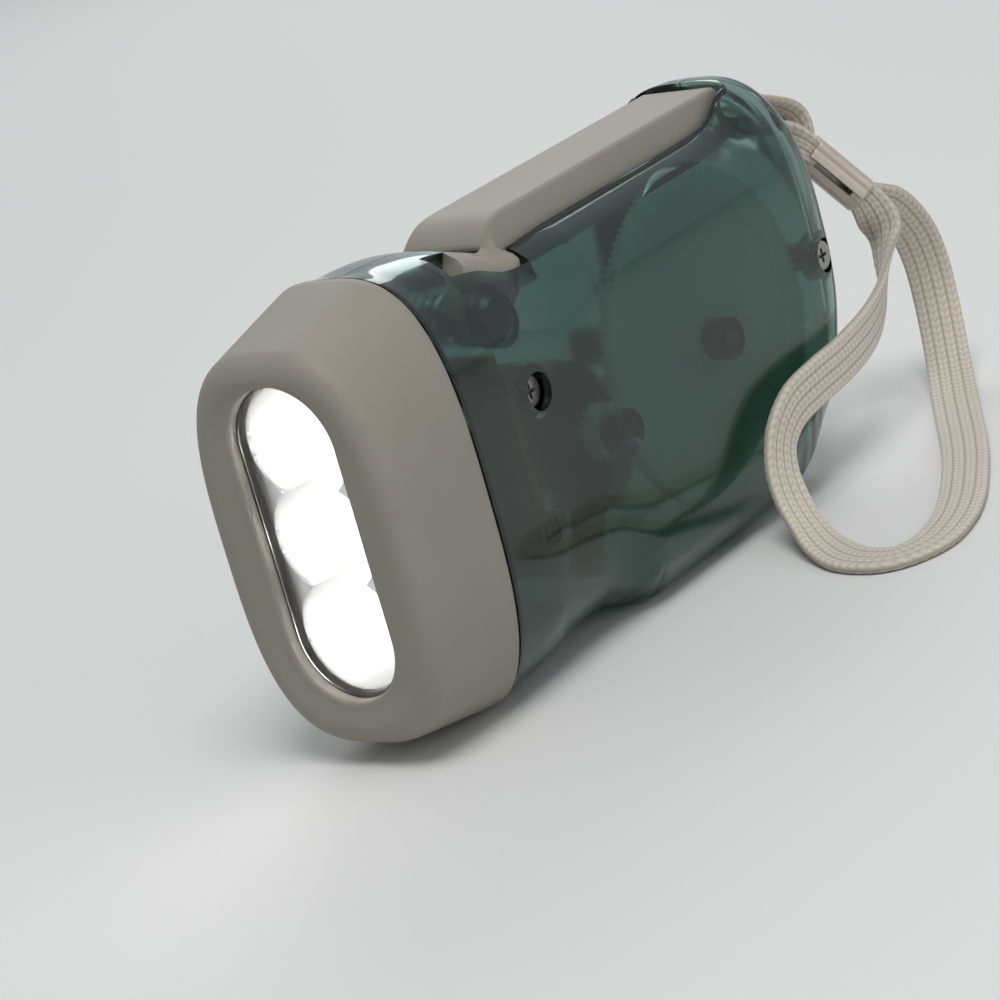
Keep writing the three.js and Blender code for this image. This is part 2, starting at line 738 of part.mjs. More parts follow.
// Half of the casing on one side of the parting plane.
function casingHalf(side) {
  const inside = casingBody(shellWall / 2);
  const ends = [side * (partingGap / 2), side * (gripHalfWidth + headHalfWidth)].sort((a, b) => a - b);
  const room = block(-overrun, bodyLength + overrun, ends[0], ends[1],
    -headBottom - overrun, headTop + overrun);
  const fittings = casingFittings(side);
  const bores = [
    bore(side, pivotRadius + shaftPlay, earOutside + gap, pivotHalfLength, pivotX, pivotZ),
    bore(side, shaftRadius + shaftPlay, shaftInside[side], shaftHalfLength, wheelX, wheelZ),
    bore(side, rotorShaftRadius + shaftPlay, rotorInside[side], shaftHalfLength, rotorX, rotorZ),
  ];
  recesses.forEach(({ x, z, floor }) => {
    const under = -floor + recessFloorThickness;
    if (side < 0) {
      fittings.push(barY(recessTubeRadius, -gripHalfWidth, under, x, z));
      bores.push(barY(recessRadius, -gripHalfWidth - overrun, -floor, x, z));
      bores.push(barY(screwHoleRadius, -floor - overrun, under + overrun, x, z));
    } else {
      fittings.push(barY(screwPostRadius, under + gap, gripHalfWidth, x, z));
      bores.push(barY(screwHoleRadius, under - overrun, -floor + screwLength + gap, x, z));
    }
  });
  if (side > 0) {
    statorPostAngles.forEach((angle) => {
      const radius = statorRing - gap;
      const x = rotorX + radius * Math.cos(angle);
      const z = rotorZ + radius * Math.sin(angle);
      fittings.push(barY(statorPostRadius, statorFar + gap, gripHalfWidth, x, z));
    });
  }
  const carried = join(fittings).intersect(inside);
  return carve(casingSkin().intersect(room).add(carried), bores);
}

// A pan-head screw entering along +Y from its recess floor.
function bodyScrew({ x, z, floor }) {
  const seat = -floor;
  const head = barY(screwHeadRadius, seat - gap / 2 - screwHeadHeight, seat - gap / 2, x, z, 20);
  const shank = barY(screwShankRadius, seat - screwHeadHeight, seat + screwLength, x, z, 12);
  const arm = driveSlotRadius;
  const top = seat - gap / 2 - screwHeadHeight;
  const thin = arm / 4;
  const slots = [
    block(x - arm, x + arm, top - overrun, top + driveSlotDepth, z - thin, z + thin),
    block(x - thin, x + thin, top - overrun, top + driveSlotDepth, z - arm, z + arm),
  ];
  return carve(head.add(shank), slots);
}

// Fixed axle of the big gear.
function gearShaft() {
  return barY(shaftRadius, -shaftHalfLength, shaftHalfLength, wheelX, wheelZ, 20);
}

// Small gear under the lever's rack, with its sleeve and ratchet wheel.
function ratchetPinion() {
  const meshAngle = driveAngle + Math.PI + Math.PI / ratchetTeeth;
  const pinion = toothedPlate(ratchetTeeth, rackModule, meshAngle, wheelX, wheelZ,
    -pinionHalfWidth, pinionHalfWidth, 2);
  const sleeve = barY(sleeveRadius, -cupRingInside, -pinionHalfWidth, wheelX, wheelZ);
  const saw = [];
  for (let tooth = 0; tooth < ratchetToothCount; tooth += 1) {
    const angle = (2 * Math.PI * tooth) / ratchetToothCount;
    const low = ratchetRadius - ratchetToothDepth;
    saw.push([wheelX + low * Math.cos(angle), wheelZ + low * Math.sin(angle)]);
    saw.push([wheelX + ratchetRadius * Math.cos(angle), wheelZ + ratchetRadius * Math.sin(angle)]);
  }
  const wheelInside = wheelFace - wheelThickness - gap;
  const ratchet = plateY(outline(saw), -wheelInside, -cupRingInside + gap);
  const axle = barY(shaftRadius + shaftPlay, -wheelInside - overrun, pinionHalfWidth + overrun,
    wheelX, wheelZ);
  return join([pinion, sleeve, ratchet]).subtract(axle);
}

// The pawls stand evenly round the big gear.
const pawlAngles = Array.from({ length: pawlCount }, (_, i) => (2 * Math.PI * i) / pawlCount);

// Big driven gear with a thin web, a pawl cup and the pawls' pins.
function bigGear() {
  const meshAngle = trainAngle;
  const inner = -(wheelFace - wheelThickness);
  const plate = toothedPlate(wheelTeeth, trainModule, meshAngle, wheelX, wheelZ, -wheelFace, inner, 1);
  const rim = ((wheelTeeth * trainModule) / 2) * wheelRimShare;
  const dish = barY(rim, -wheelFace - overrun, -wheelFace + wheelThickness - wheelWeb, wheelX, wheelZ, 48)
    .subtract(barY(wheelHubRadius, -wheelFace - 2 * overrun, inner, wheelX, wheelZ));
  const cupOuter = cupRingInner + cupRingWall;
  const cup = barY(cupOuter, inner - wheelThickness / 2, -cupRingInside, wheelX, wheelZ, 40)
    .subtract(barY(cupRingInner, inner, overrun, wheelX, wheelZ, 40));
  const pins = pawlAngles.map((angle) => barY(pawlPinRadius, inner - wheelThickness / 2,
    -cupRingInside - gap, wheelX + pawlPivotRadius * Math.cos(angle),
    wheelZ + pawlPivotRadius * Math.sin(angle), 12));
  const axle = barY(shaftRadius + shaftPlay, -wheelFace - overrun, inner + overrun, wheelX, wheelZ);
  const flat = plate.subtract(dish).add(cup);
  return join([flat, ...pins]).subtract(axle);
}

// One pawl: a heel round its pin and a beak against a ratchet tooth.
function pawl(angle) {
  const away = (2 * gap) / ratchetRadius;
  const beakAngle = (2 * Math.PI) / ratchetToothCount - away;
  const shape = new THREE.Shape();
  shape.absarc(pawlPivotRadius, 0, pawlHeelRadius, pawlHeelStart, pawlHeelEnd, false);
  [ratchetRadius + 2 * gap, ratchetRadius - ratchetToothDepth + 1.5 * gap].forEach((radius) => {
    shape.lineTo(radius * Math.cos(beakAngle), radius * Math.sin(beakAngle));
  });
  const inner = wheelFace - wheelThickness - gap;
  const part = plateY(shape, -inner, -cupRingInside - 2 * gap, 6)
    .subtract(barY(pawlPinRadius + shaftPlay, -wheelFace, 0, pawlPivotRadius, 0, 12));
  const geometry = geometryOf(part);
  geometry.rotateY(-angle);
  geometry.translate(wheelX, 0, wheelZ);
  return solid(geometry);
}

// Generator shaft.
function rotorShaft() {
  return barY(rotorShaftRadius, -shaftHalfLength, shaftHalfLength, rotorX, rotorZ);
}

// Small gear that the big gear drives, in mesh at rest.
function rotorPinion() {
  const meshAngle = trainAngle + Math.PI + Math.PI / rotorTeeth;
  return toothedPlate(rotorTeeth, trainModule, meshAngle, rotorX, rotorZ,
    -wheelFace, -rotorPinionInside, 2)
    .subtract(barY(rotorShaftRadius + gap / 2, -wheelFace - overrun, 0, rotorX, rotorZ));
}

// Ring magnet on the generator shaft.
function rotorMagnet() {
  return barY(magnetRadius, -magnetNear, magnetFar, rotorX, rotorZ, 32)
    .subtract(barY(rotorShaftRadius + gap / 2, -magnetNear - overrun, magnetFar + overrun,
      rotorX, rotorZ));
}

// Turns a piece of the generator into its place round the rotor.
function placeAtRotor(part) {
  const geometry = geometryOf(part);
  geometry.rotateY(-statorAngle);
  geometry.translate(rotorX, 0, rotorZ);
  return solid(geometry);
}

// Iron yoke: two pole arms round the magnet and a core bar below it.
function stator() {
  const ring = barY(statorRing, -statorNear, statorFar, 0, 0, 40);
  const armWidth = statorRing - statorBore;
  const bottom = -coreDrop - coreHeight / 2;
  const arms = [-1, 1].map((side) => {
    const xs = [side * coreHalfLength, side * (coreHalfLength - armWidth)].sort((a, b) => a - b);
    return block(xs[0], xs[1], -statorNear, statorFar, bottom, 0);
  });
  const core = block(-coreHalfLength, coreHalfLength, -statorNear, statorFar, bottom,
    -coreDrop + coreHeight / 2);
  const room = barY(statorBore, -statorNear - overrun, statorFar + overrun, 0, 0, 40);
  const mouths = block(-statorMouth / 2, statorMouth / 2, -statorNear - overrun, statorFar + overrun,
    0, statorRing + overrun);
  const lower = block(-bobbinHalfLength - gap, bobbinHalfLength + gap, -statorNear - overrun,
    statorFar + overrun, -coreDrop + coreHeight / 2, 0);
  return placeAtRotor(carve(join([ring, ...arms]), [lower, room, mouths]).add(core));
}

// A block round the stator's core, grown on every side but its length.
function roundCore(halfLength, grow) {
  return block(-halfLength, halfLength, -statorNear - grow, statorFar + grow,
    -coreDrop - coreHeight / 2 - grow, -coreDrop + coreHeight / 2 + grow);
}

// Coil former on the core bar, with a cheek at each end.
function coilBobbin() {
  const inside = gap;
  const sleeve = roundCore(bobbinHalfLength, inside + bobbinWall);
  const cheeks = [-1, 1].map((side) => {
    const xs = [side * bobbinHalfLength, side * (bobbinHalfLength - bobbinWall)].sort((a, b) => a - b);
    const whole = roundCore(bobbinHalfLength, inside + bobbinWall + coilThickness);
    return whole.intersect(block(xs[0], xs[1], -headHalfWidth, headHalfWidth, -headBottom, 0));
  });
  const hole = roundCore(bobbinHalfLength + overrun, inside);
  return placeAtRotor(join([sleeve, ...cheeks]).subtract(hole));
}

// Wire wound on the former.
function coilWinding() {
  const length = bobbinHalfLength - bobbinWall - gap;
  const grow = 2 * gap + bobbinWall;
  const inside = roundCore(length + overrun, grow);
  return placeAtRotor(roundCore(length, grow + coilThickness - 2 * gap).subtract(inside));
}

// A round tube along a smooth route.
function tube(route, radius, sides, steps) {
  const shape = new THREE.Shape();
  shape.absarc(0, 0, radius, 0, 2 * Math.PI, false);
  const curve = new THREE.CatmullRomCurve3(route);
  const options = { steps, extrudePath: curve, curveSegments: sides / 2, bevelEnabled: false };
  return solid(new THREE.ExtrudeGeometry(shape, options));
}

// One of the two leads from the lamp board to the front cheek of the coil
// former. Both ends run straight and square to what they meet.
function leadWire(side) {
  const y = side < 0 ? -statorNear - leadAside : statorFar + leadAside;
  const board = boardFront + boardThickness + gap;
  const shaftAxis = new THREE.Vector3(0, 1, 0);
  const rotor = new THREE.Vector3(rotorX, 0, rotorZ);
  const atFormer = (distance) => new THREE.Vector3(-bobbinHalfLength - distance, y, -coreDrop)
    .applyAxisAngle(shaftAxis, -statorAngle)
    .add(rotor);
  const route = [
    new THREE.Vector3(board, y, -leadHeight),
    new THREE.Vector3(board + leadStraight, y, -leadHeight),
    atFormer(gap + leadStraight),
    atFormer(gap),
  ];
  return tube(route, wireRadius, 6, 12);
}

// Torsion spring wound round the lever's crossbar.
function leverSpring() {
  const radius = pivotRadius + gap + springWire;
  const turnSteps = 8;
  const total = springTurns * turnSteps;
  const rings = [];
  const sides = 5;
  for (let step = 0; step <= total; step += 1) {
    const angle = (2 * Math.PI * step) / turnSteps;
    const y = THREE.MathUtils.lerp(-springHalfLength, springHalfLength, step / total);
    const ring = [];
    for (let side = 0; side < sides; side += 1) {
      const turn = (2 * Math.PI * side) / sides;
      const reach = radius + (springWire / 2) * Math.cos(turn);
      ring.push(new THREE.Vector3(
        pivotX + reach * Math.cos(angle), y + (springWire / 2) * Math.sin(turn),
        pivotZ + reach * Math.sin(angle)));
    }
    rings.push(ring);
  }
  return loft(rings);
}

// A flat tape along a route. Every route row is a place and the direction
// across the tape there; rows in between come from a smooth curve.
function tape(rows, width, thickness, steps) {
  const places = new THREE.CatmullRomCurve3(rows.map(([place]) => place), false, 'centripetal');
  const acrosses = new THREE.CatmullRomCurve3(rows.map(([, across]) => across), false, 'catmullrom');
  const bevel = thickness / 4;
  const rings = [];
  for (let step = 0; step <= steps; step += 1) {
    const share = step / steps;
    const place = places.getPoint(share);
    const along = places.getTangent(share);
    const across = acrosses.getPoint(share);
    across.addScaledVector(along, -across.dot(along)).normalize();
    const out = new THREE.Vector3().crossVectors(along, across);
    const ring = [
      [width / 2, thickness / 2 - bevel], [width / 2 - bevel, thickness / 2],
      [bevel - width / 2, thickness / 2], [-width / 2, thickness / 2 - bevel],
      [-width / 2, bevel - thickness / 2], [bevel - width / 2, -thickness / 2],
      [width / 2 - bevel, -thickness / 2], [width / 2, bevel - thickness / 2],
    ];
    rings.push(ring.map(([u, v]) => place.clone().addScaledVector(across, u).addScaledVector(out, v)));
  }
  return loft(rings);
}

// Hand-chosen route of the wrist loop: x, y, z, then the direction across it.
const strapRoute = [
  [123.8, -8.2, -0.6, -0.56, 0.7, -0.4],
  [127, -8, -3.4, -0.56, 0.75, -0.2], [129.6, -8, -7.4, -0.56, 0.79, -0.05],
  [130.8, -8, -12, -0.56, 0.79, 0], [130.4, -8.4, -17, -0.56, 0.79, 0],
  [128, -9.8, -21.8, -0.56, 0.8, 0], [123.6, -12.4, -25.6, -0.56, 0.82, 0],
  [116.6, -16.7, -27.7, -0.55, 0.83, 0], [109, -21.6, -28.2, -0.55, 0.83, 0],
  [101, -26.8, -28.2, -0.53, 0.85, 0], [93.4, -31.4, -28.2, -0.5, 0.86, 0],
  [86.2, -35.3, -28.2, -0.46, 0.89, 0], [79, -38.8, -28.2, -0.42, 0.9, 0],
  [72, -41.2, -28.2, -0.22, 0.97, 0], [65.2, -41.8, -28.2, 0.25, 0.97, 0],
  [60.6, -39, -28.2, 0.85, 0.5, 0], [60.4, -33.6, -28.2, 0.95, -0.3, 0],
  [63, -28.4, -27.9, 0.88, -0.45, -0.1], [66.4, -23.6, -26.6, 0.8, -0.45, -0.4],
  [69, -20, -23.8, 0.8, -0.3, -0.5], [71, -18, -20, 0.85, -0.1, -0.5],
  [73.6, -17.2, -16.4, 0.7, 0, -0.7], [78, -17, -13.8, 0.35, 0, -0.9],
  [84.4, -17, -12.8, 0.12, 0, -1], [91, -16.6, -12.6, 0, 0, -1], [97.6, -15.6, -12.4, 0, 0, -1],
  [104, -14, -12.2, 0.1, 0.1, -1], [109.8, -12.2, -11.6, 0.4, 0.3, -0.85],
  [114.6, -10.8, -9.8, 0.6, 0.5, -0.6], [117.8, -9.8, -6.8, 0.45, 0.7, -0.4],
  [119.8, -9.4, -3.4, 0, 0.8, -0.5],
];

// Hand-chosen places of the short bight, from the ferrule up to the post and
// from the post back to the ferrule, in the same order of numbers.
const bightToPost = [
  [112, -3.6, 16, -0.4, 0.8, -0.3], [109.2, -2.4, 19.6, -0.1, 0.95, 0], [104.6, -0.7, 22, 0, 1, 0],
];
const bightFromPost = [
  [104.6, -0.7, 17, 0, 1, 0], [108.6, -2.6, 15.4, -0.15, 0.9, -0.2],
];

// The crimped ferrule between its tail end and its loop end, and the
// directions across it and through it.
const ferruleTail = new THREE.Vector3(112.6, -5, 11.4);
const ferruleLoop = new THREE.Vector3(118.3, -7.9, 2.8);
const ferruleAlong = ferruleLoop.clone().sub(ferruleTail).normalize();
const ferruleAcross = new THREE.Vector3(-0.54, 0.65, -0.57);
const ferruleThrough = new THREE.Vector3().crossVectors(ferruleAlong, ferruleAcross).normalize();

// One row of a route as the tape takes it.
function tapeRow([x, y, z, u, v, w]) {
  return [new THREE.Vector3(x, y, z), new THREE.Vector3(u, v, w)];
}

// Where one of the two layers leaves the ferrule, square to its end.
function strapEnd(place, distance, side) {
  const aside = (side * (strapThickness + gap)) / 2;
  const centre = place.clone()
    .addScaledVector(ferruleAlong, distance)
    .addScaledVector(ferruleThrough, aside);
  return [centre, ferruleAcross];
}

// Folded metal band whose two edges meet in a seam on the near side.
function strapFerrule() {
  const rows = [ferruleTail, ferruleLoop].map((place) => [place, ferruleAcross]);
  const seam = rows.map(([place], end) => [
    place.clone().addScaledVector(ferruleThrough, -ferruleThickness / 2)
      .addScaledVector(ferruleAlong, (2 * end - 1) * overrun),
    ferruleAcross,
  ]);
  return tape(rows, ferruleWidth, ferruleThickness, 1)
    .subtract(tape(seam, ferruleSeam, strapThickness, 1));
}

// The wrist loop, open between its two ends in the ferrule.
function wristStrap() {
  const rows = [
    strapEnd(ferruleLoop, gap, 1), strapEnd(ferruleLoop, strapThickness, 1),
    ...strapRoute.map(tapeRow),
    strapEnd(ferruleLoop, strapThickness, -1), strapEnd(ferruleLoop, gap, -1),
  ];
  return tape(rows, strapWidth, strapThickness, 54);
}

// Short bight that ties the ferrule to the post in the tail.
function strapBight() {
  const turn = anchorRadius + gap + strapThickness / 2;
  const across = new THREE.Vector3(0, 1, 0);
  const rows = [
    strapEnd(ferruleTail, -gap, 1), strapEnd(ferruleTail, -strapThickness, 1),
    ...bightToPost.map(tapeRow),
  ];
  const arcSteps = 5;
  for (let step = 0; step <= arcSteps; step += 1) {
    const angle = Math.PI / 2 + (Math.PI * step) / arcSteps;
    const place = new THREE.Vector3(anchorX + turn * Math.cos(angle), 0, anchorZ + turn * Math.sin(angle));
    rows.push([place, across]);
  }
  rows.push(...bightFromPost.map(tapeRow));
  rows.push(strapEnd(ferruleTail, -strapThickness, -1), strapEnd(ferruleTail, -gap, -1));
  return tape(rows, strapWidth, strapThickness, 32);
}

const torch = new THREE.Group();
torch.position.set(-bodyLength / 2, 0, baseDepth);

// Adds a named piece to the torch.
function add(name, finish, part) {
  const [color, roughness, metalness] = COLOURS[finish];
  const material = new THREE.MeshStandardMaterial({ color, roughness, metalness });
  const mesh = new THREE.Mesh(geometryOf(part), material);
  mesh.name = name;
  torch.add(mesh);
}

add('shell_near', 'casing', casingHalf(-1));
add('shell_far', 'casing', casingHalf(1));
add('head_bezel', 'grey', headBezel());
add('lens', 'clear', lens());
add('reflector', 'chrome', reflector());
ledPlaces.forEach((z, i) => add(`led_${i + 1}`, 'lamp', led(z)));
add('led_board', 'board', ledBoard());
add('lever', 'grey', lever());
add('lever_spring', 'steel', leverSpring());
add('ratchet_pinion', 'gear', ratchetPinion());
add('big_gear', 'gear', bigGear());
pawlAngles.forEach((angle, i) => add(`pawl_${i + 1}`, 'steel', pawl(angle)));
add('gear_shaft', 'steel', gearShaft());
add('rotor_shaft', 'steel', rotorShaft());
add('rotor_pinion', 'gear', rotorPinion());
add('rotor_magnet', 'magnet', rotorMagnet());
add('stator', 'iron', stator());
add('coil_bobbin', 'gear', coilBobbin());
add('coil_winding', 'copper', coilWinding());
leadSides.forEach((side, i) => add(`lead_wire_${i + 1}`, 'wire', leadWire(side)));
recesses.forEach((place, i) => add(`body_screw_${i + 1}`, 'steel', bodyScrew(place)));
add('strap_bight', 'strap', strapBight());
add('strap_ferrule', 'steel', strapFerrule());
add('wrist_strap', 'strap', wristStrap());

export default torch;
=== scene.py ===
"""Looks of the squeeze-lever torch: tinted casing, grey mouldings, lit lamps and a braided wrist strap."""

import bmesh
import bpy
import numpy as np
from mathutils import Matrix, Vector


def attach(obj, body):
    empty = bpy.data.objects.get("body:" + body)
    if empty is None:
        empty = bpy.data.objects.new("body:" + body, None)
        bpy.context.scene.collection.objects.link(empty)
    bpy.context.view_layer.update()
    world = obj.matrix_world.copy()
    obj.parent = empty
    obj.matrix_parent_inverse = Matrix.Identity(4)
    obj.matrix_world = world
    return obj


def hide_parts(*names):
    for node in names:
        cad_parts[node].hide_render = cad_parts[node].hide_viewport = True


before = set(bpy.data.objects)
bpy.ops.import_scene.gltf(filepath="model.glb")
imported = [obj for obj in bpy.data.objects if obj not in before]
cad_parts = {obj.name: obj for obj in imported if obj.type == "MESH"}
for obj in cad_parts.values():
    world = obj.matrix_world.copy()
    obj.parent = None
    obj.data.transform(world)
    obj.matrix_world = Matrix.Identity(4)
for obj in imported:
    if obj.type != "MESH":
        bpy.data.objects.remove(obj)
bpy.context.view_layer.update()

# Shapes are worked out in millimetres from the middle of the lamp's front face,
# as the solids are, and placed in metres on the torch's base.
METRE = 0.001
FACE_PLACE = np.array([-52.0, 0.0, 28.9])

# Camera, fitted to the outlines of the window, head, gear, screws and lever
CAMERA_PLACE = (-0.3296, -0.2779, 0.1490)
CAMERA_FORWARD = (0.7150, 0.6342, -0.2940)
CAMERA_UP = (0.3936, -0.0177, 0.9191)
CAMERA_LENS = 124.35
CAMERA_SENSOR = 36.0


def linked(name, data):
    """A new object of the scene that holds the data."""
    made = bpy.data.objects.new(name, data)
    bpy.context.scene.collection.objects.link(made)
    return made


def make_camera():
    """Perspective camera at the photograph's place, turned as it was held."""
    data = bpy.data.cameras.new("camera")
    data.lens = CAMERA_LENS
    data.sensor_width = CAMERA_SENSOR
    data.clip_start = 0.01
    data.clip_end = 20.0
    camera = linked("camera", data)
    forward = Vector(CAMERA_FORWARD).normalized()
    right = forward.cross(Vector(CAMERA_UP)).normalized()
    up = right.cross(forward)
    turn = Matrix((right, up, -forward)).transposed()
    camera.matrix_world = Matrix.Translation(Vector(CAMERA_PLACE)) @ turn.to_4x4()
    bpy.context.scene.camera = camera


make_camera()


# Meshes from arrays

def new_piece(name, corners, faces, materials=()):
    """A mesh object from corner places in millimetres and lists of corner numbers."""
    mesh = bpy.data.meshes.new(name)
    mesh.from_pydata(((corners + FACE_PLACE) * METRE).tolist(), [], faces)
    mesh.update()
    for material in materials:
        mesh.materials.append(material)
    return linked(name, mesh)


def grid_faces(rows, columns, close_rows=False, close_columns=False):
    """Quads between neighbours of a rows by columns grid, joined round where it closes."""
    row = np.arange(rows if close_rows else rows - 1)[:, None]
    column = np.arange(columns if close_columns else columns - 1)[None, :]
    next_row, next_column = (row + 1) % rows, (column + 1) % columns
    quads = np.stack([row * columns + column, row * columns + next_column,
                      next_row * columns + next_column, next_row * columns + column], -1)
    return quads.reshape(-1, 4).tolist()


def lofted(rings):
    """Corners and faces of a closed body through rings, capped at both ends.

    Rings have shape (rings, places, 3) and all run the same way round."""
    count, around = rings.shape[:2]
    faces = grid_faces(count, around, close_columns=True)
    last = (count - 1) * around
    faces.append(list(range(around))[::-1])
    faces.append(list(range(last, last + around)))
    return rings.reshape(-1, 3), faces


def mesh_numbers(items, field, count, kind=float):
    """One field of a mesh's items as an array, with count numbers to a row."""
    values = np.zeros(len(items) * count, kind)
    items.foreach_get(field, values)
    return values.reshape(-1, count)


def face_outwards(piece):
    """Turns the faces of a closed mesh to point out: its signed volume is then above zero."""
    bpy.context.view_layer.update()
    mesh = piece.data
    mesh.calc_loop_triangles()
    places = mesh_numbers(mesh.vertices, "co", 3)
    corners = mesh_numbers(mesh.loop_triangles, "vertices", 3, int)
    a, b, c = np.moveaxis(places[corners], 1, 0)
    if np.einsum("ij,ij->i", a, np.cross(b, c)).sum() < 0:
        mesh.flip_normals()
    return piece


def closed(name, rings, materials=()):
    """A closed body through rings that faces outwards."""
    return face_outwards(new_piece(name, *lofted(rings), materials))


def smooth(piece, degrees):
    """Smooth shading with edges sharper than an angle left crisp."""
    piece.data.shade_smooth()
    piece.data.set_sharp_from_angle(angle=np.radians(degrees))


def combined(name, start, steps, materials=()):
    """A solid after each step: joined with, less or kept within another solid."""
    for operation, other in steps:
        step = start.modifiers.new(operation, "BOOLEAN")
        step.operation = operation
        step.solver = "MANIFOLD"
        step.object = other
    bpy.context.view_layer.update()
    graph = bpy.context.evaluated_depsgraph_get()
    mesh = bpy.data.meshes.new_from_object(start.evaluated_get(graph))
    mesh.name = name
    mesh.materials.clear()
    for material in materials:
        mesh.materials.append(material)
    for used in [start] + [other for _, other in steps]:
        bpy.data.objects.remove(used)
    return linked(name, mesh)


def placed(piece, node, body):
    """Puts a piece in the place of its plain solid, on the solid's body and with its finish."""
    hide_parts(node)
    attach(piece, body)


def block(x0, x1, y0, y1, z0, z1):
    """A block between two corners."""
    corners = np.array([[x, y, z] for x in (x0, x1) for y in (y0, y1) for z in (z0, z1)], float)
    faces = [[0, 1, 3, 2], [4, 6, 7, 5], [0, 4, 5, 1], [2, 3, 7, 6], [0, 2, 6, 4], [1, 5, 7, 3]]
    return face_outwards(new_piece("block", corners, faces))


def bar_y(radius, y0, y1, x, z, sides=64):
    """A round bar along Y: places at radius times (cos t, sin t) at both ends."""
    turn = np.linspace(0, 2 * np.pi, sides, endpoint=False)
    ring = np.stack([x + radius * np.cos(turn), np.zeros(sides), z + radius * np.sin(turn)], -1)
    ends = np.stack([ring + [0, y0, 0], ring + [0, y1, 0]])
    return closed("bar", ends)


def slot_ring(x, half_width, half_height, steps=32):
    """A slot outline with two half circles, in y and z at one x."""
    straight = half_height - half_width
    turn = np.linspace(0, np.pi, steps)
    top = np.stack([half_width * np.cos(turn), straight + half_width * np.sin(turn)], -1)
    outline = np.concatenate([top, -top])
    return np.concatenate([np.full((len(outline), 1), x), outline], -1)


def slot_bar(x0, x1, half_width, half_height):
    """A slot-shaped bar along X."""
    ends = np.stack([slot_ring(x0, half_width, half_height), slot_ring(x1, half_width, half_height)])
    return closed("slot", ends)


# Sizes of the casing, the same as the solids have

BODY_LENGTH = 104.0
HEAD_DEPTH = 16.75
HEAD_HALF_WIDTH = 15.4
HEAD_TOP = 28.3
HEAD_BOTTOM = 29.1
FACE_HALF_WIDTH = 14.9
FACE_TOP = 24.0
FACE_BOTTOM = 25.9
FACE_EDGE = 2.4
GRIP_HALF_WIDTH = 14.3
RIM_TOP = 23.2
GRIP_BOTTOM = 29.1
BASE_DEPTH = 28.9
SHELL_WALL = 1.5
BEZEL_WALL = 1.6
FACE_WALL = 2.2
GAP = 0.3
PARTING_GAP = 0.2
WINDOW_HALF_WIDTH = 8.2
WINDOW_HALF_HEIGHT = 20.4
LENS_LIP = 1.2
LENS_THICKNESS = 1.5
LAMP_HALF_WIDTH = WINDOW_HALF_WIDTH + LENS_LIP
LAMP_HALF_HEIGHT = WINDOW_HALF_HEIGHT + LENS_LIP
PIVOT = (30.6, 17.2)
WHEEL = (73.5032, -1.99153)
ROTOR = (48.11776, -4.70445)
ANCHOR = (99.0, 19.6)
JOINT = HEAD_DEPTH + GAP
SPIGOT_LENGTH = 3.75
SPIGOT_SHOULDER = 1.5
THROAT_HALF_WIDTH = 11.2
THROAT_HALF_HEIGHT = 23.1
WELL_FLOOR = 17.5
WELL_HALF_WIDTH = 7.1
TONGUE_END = 36.8
TONGUE_HALF_WIDTH = 5.9
TAIL_LIP = 94.5
NOTCH_FRONT = 26.8
NOTCH_END = 41.6
NOTCH_HALF_WIDTH = 10.2
WHEEL_ROOM = 22.833
POCKET_FRONT = 97.0
POCKET_HALF_WIDTH = 5.0
POCKET_HALF_HEIGHT = 5.2

# Cutters run past what they cut by the first, and past the whole casing by the second
OVERRUN = 3.0
PAST = 40.0

# Bosses and bores along Y: radii, and distances of their ends from the middle plane
BOSS_RADIUS = 2.83
BOSS_START = 9.9
FAR_WHEEL_BOSS_START = 2.7
FAR_ROTOR_BOSS_START = 6.3
BORE_LEAD = 1.0
SHAFT_HALF_LENGTH = 12.3
WHEEL_BORE = 1.65
ROTOR_BORE = 1.15
HINGE_BOSS_RADIUS = 3.8
HINGE_BORE = 2.35
HINGE_BORE_START = 9.0
TRUNNION_END = 11.5
POST_RADIUS = 1.7
YOKE_POST_TURNS = (20, 150)
YOKE_POST_RADIUS = 1.5
YOKE_POST_START = 5.3
YOKE_POST_REACH = 9.2

# Screws: place in x and z, then the recess floor's distance from the middle plane
SCREWS = (((32.1, 7.0), 11.3), ((98.236, 0.6), 11.9))
SCREW_BOSS_RADIUS = 3.4
SCREW_SEAT = 1.0
SCREW_RECESS = 2.43
SCREW_RECESS_END = 18.0
SCREW_HOLE = 1.3
SCREW_HOLE_START = 5.0
SCREW_POST_RADIUS = 1.9
SCREW_DEPTH = 9.3

# Ribs that hold the lamp board: their x, then thickness, inner y, lower edge and height
BOARD_RIBS = (25.6, 28.5)
BOARD_RIB = (1.1, 10.1, 8.6, 3.0)

# Lip beside the lever well
BEAD_RADIUS = 0.45
BEAD_SINK = 0.12
BEAD_FRONT = NOTCH_END + 0.4
BEAD_END = TAIL_LIP - 0.6
BEAD_SIDES = 16

# Squeeze lever
LEVER_TOP = 27.0
LEVER_TOE = 38.0
LEVER_END = 94.2
LEVER_HALF_WIDTH = 6.6
RAMP_RUN = 6.4
RAMP_RISE = 2.8
RAMP_BOW = 2.432
DRAFT = 0.64
DRAFT_FOOT = 22.6
TOP_EDGE_RADIUS = 0.6
HEEL_RADIUS = 1.2

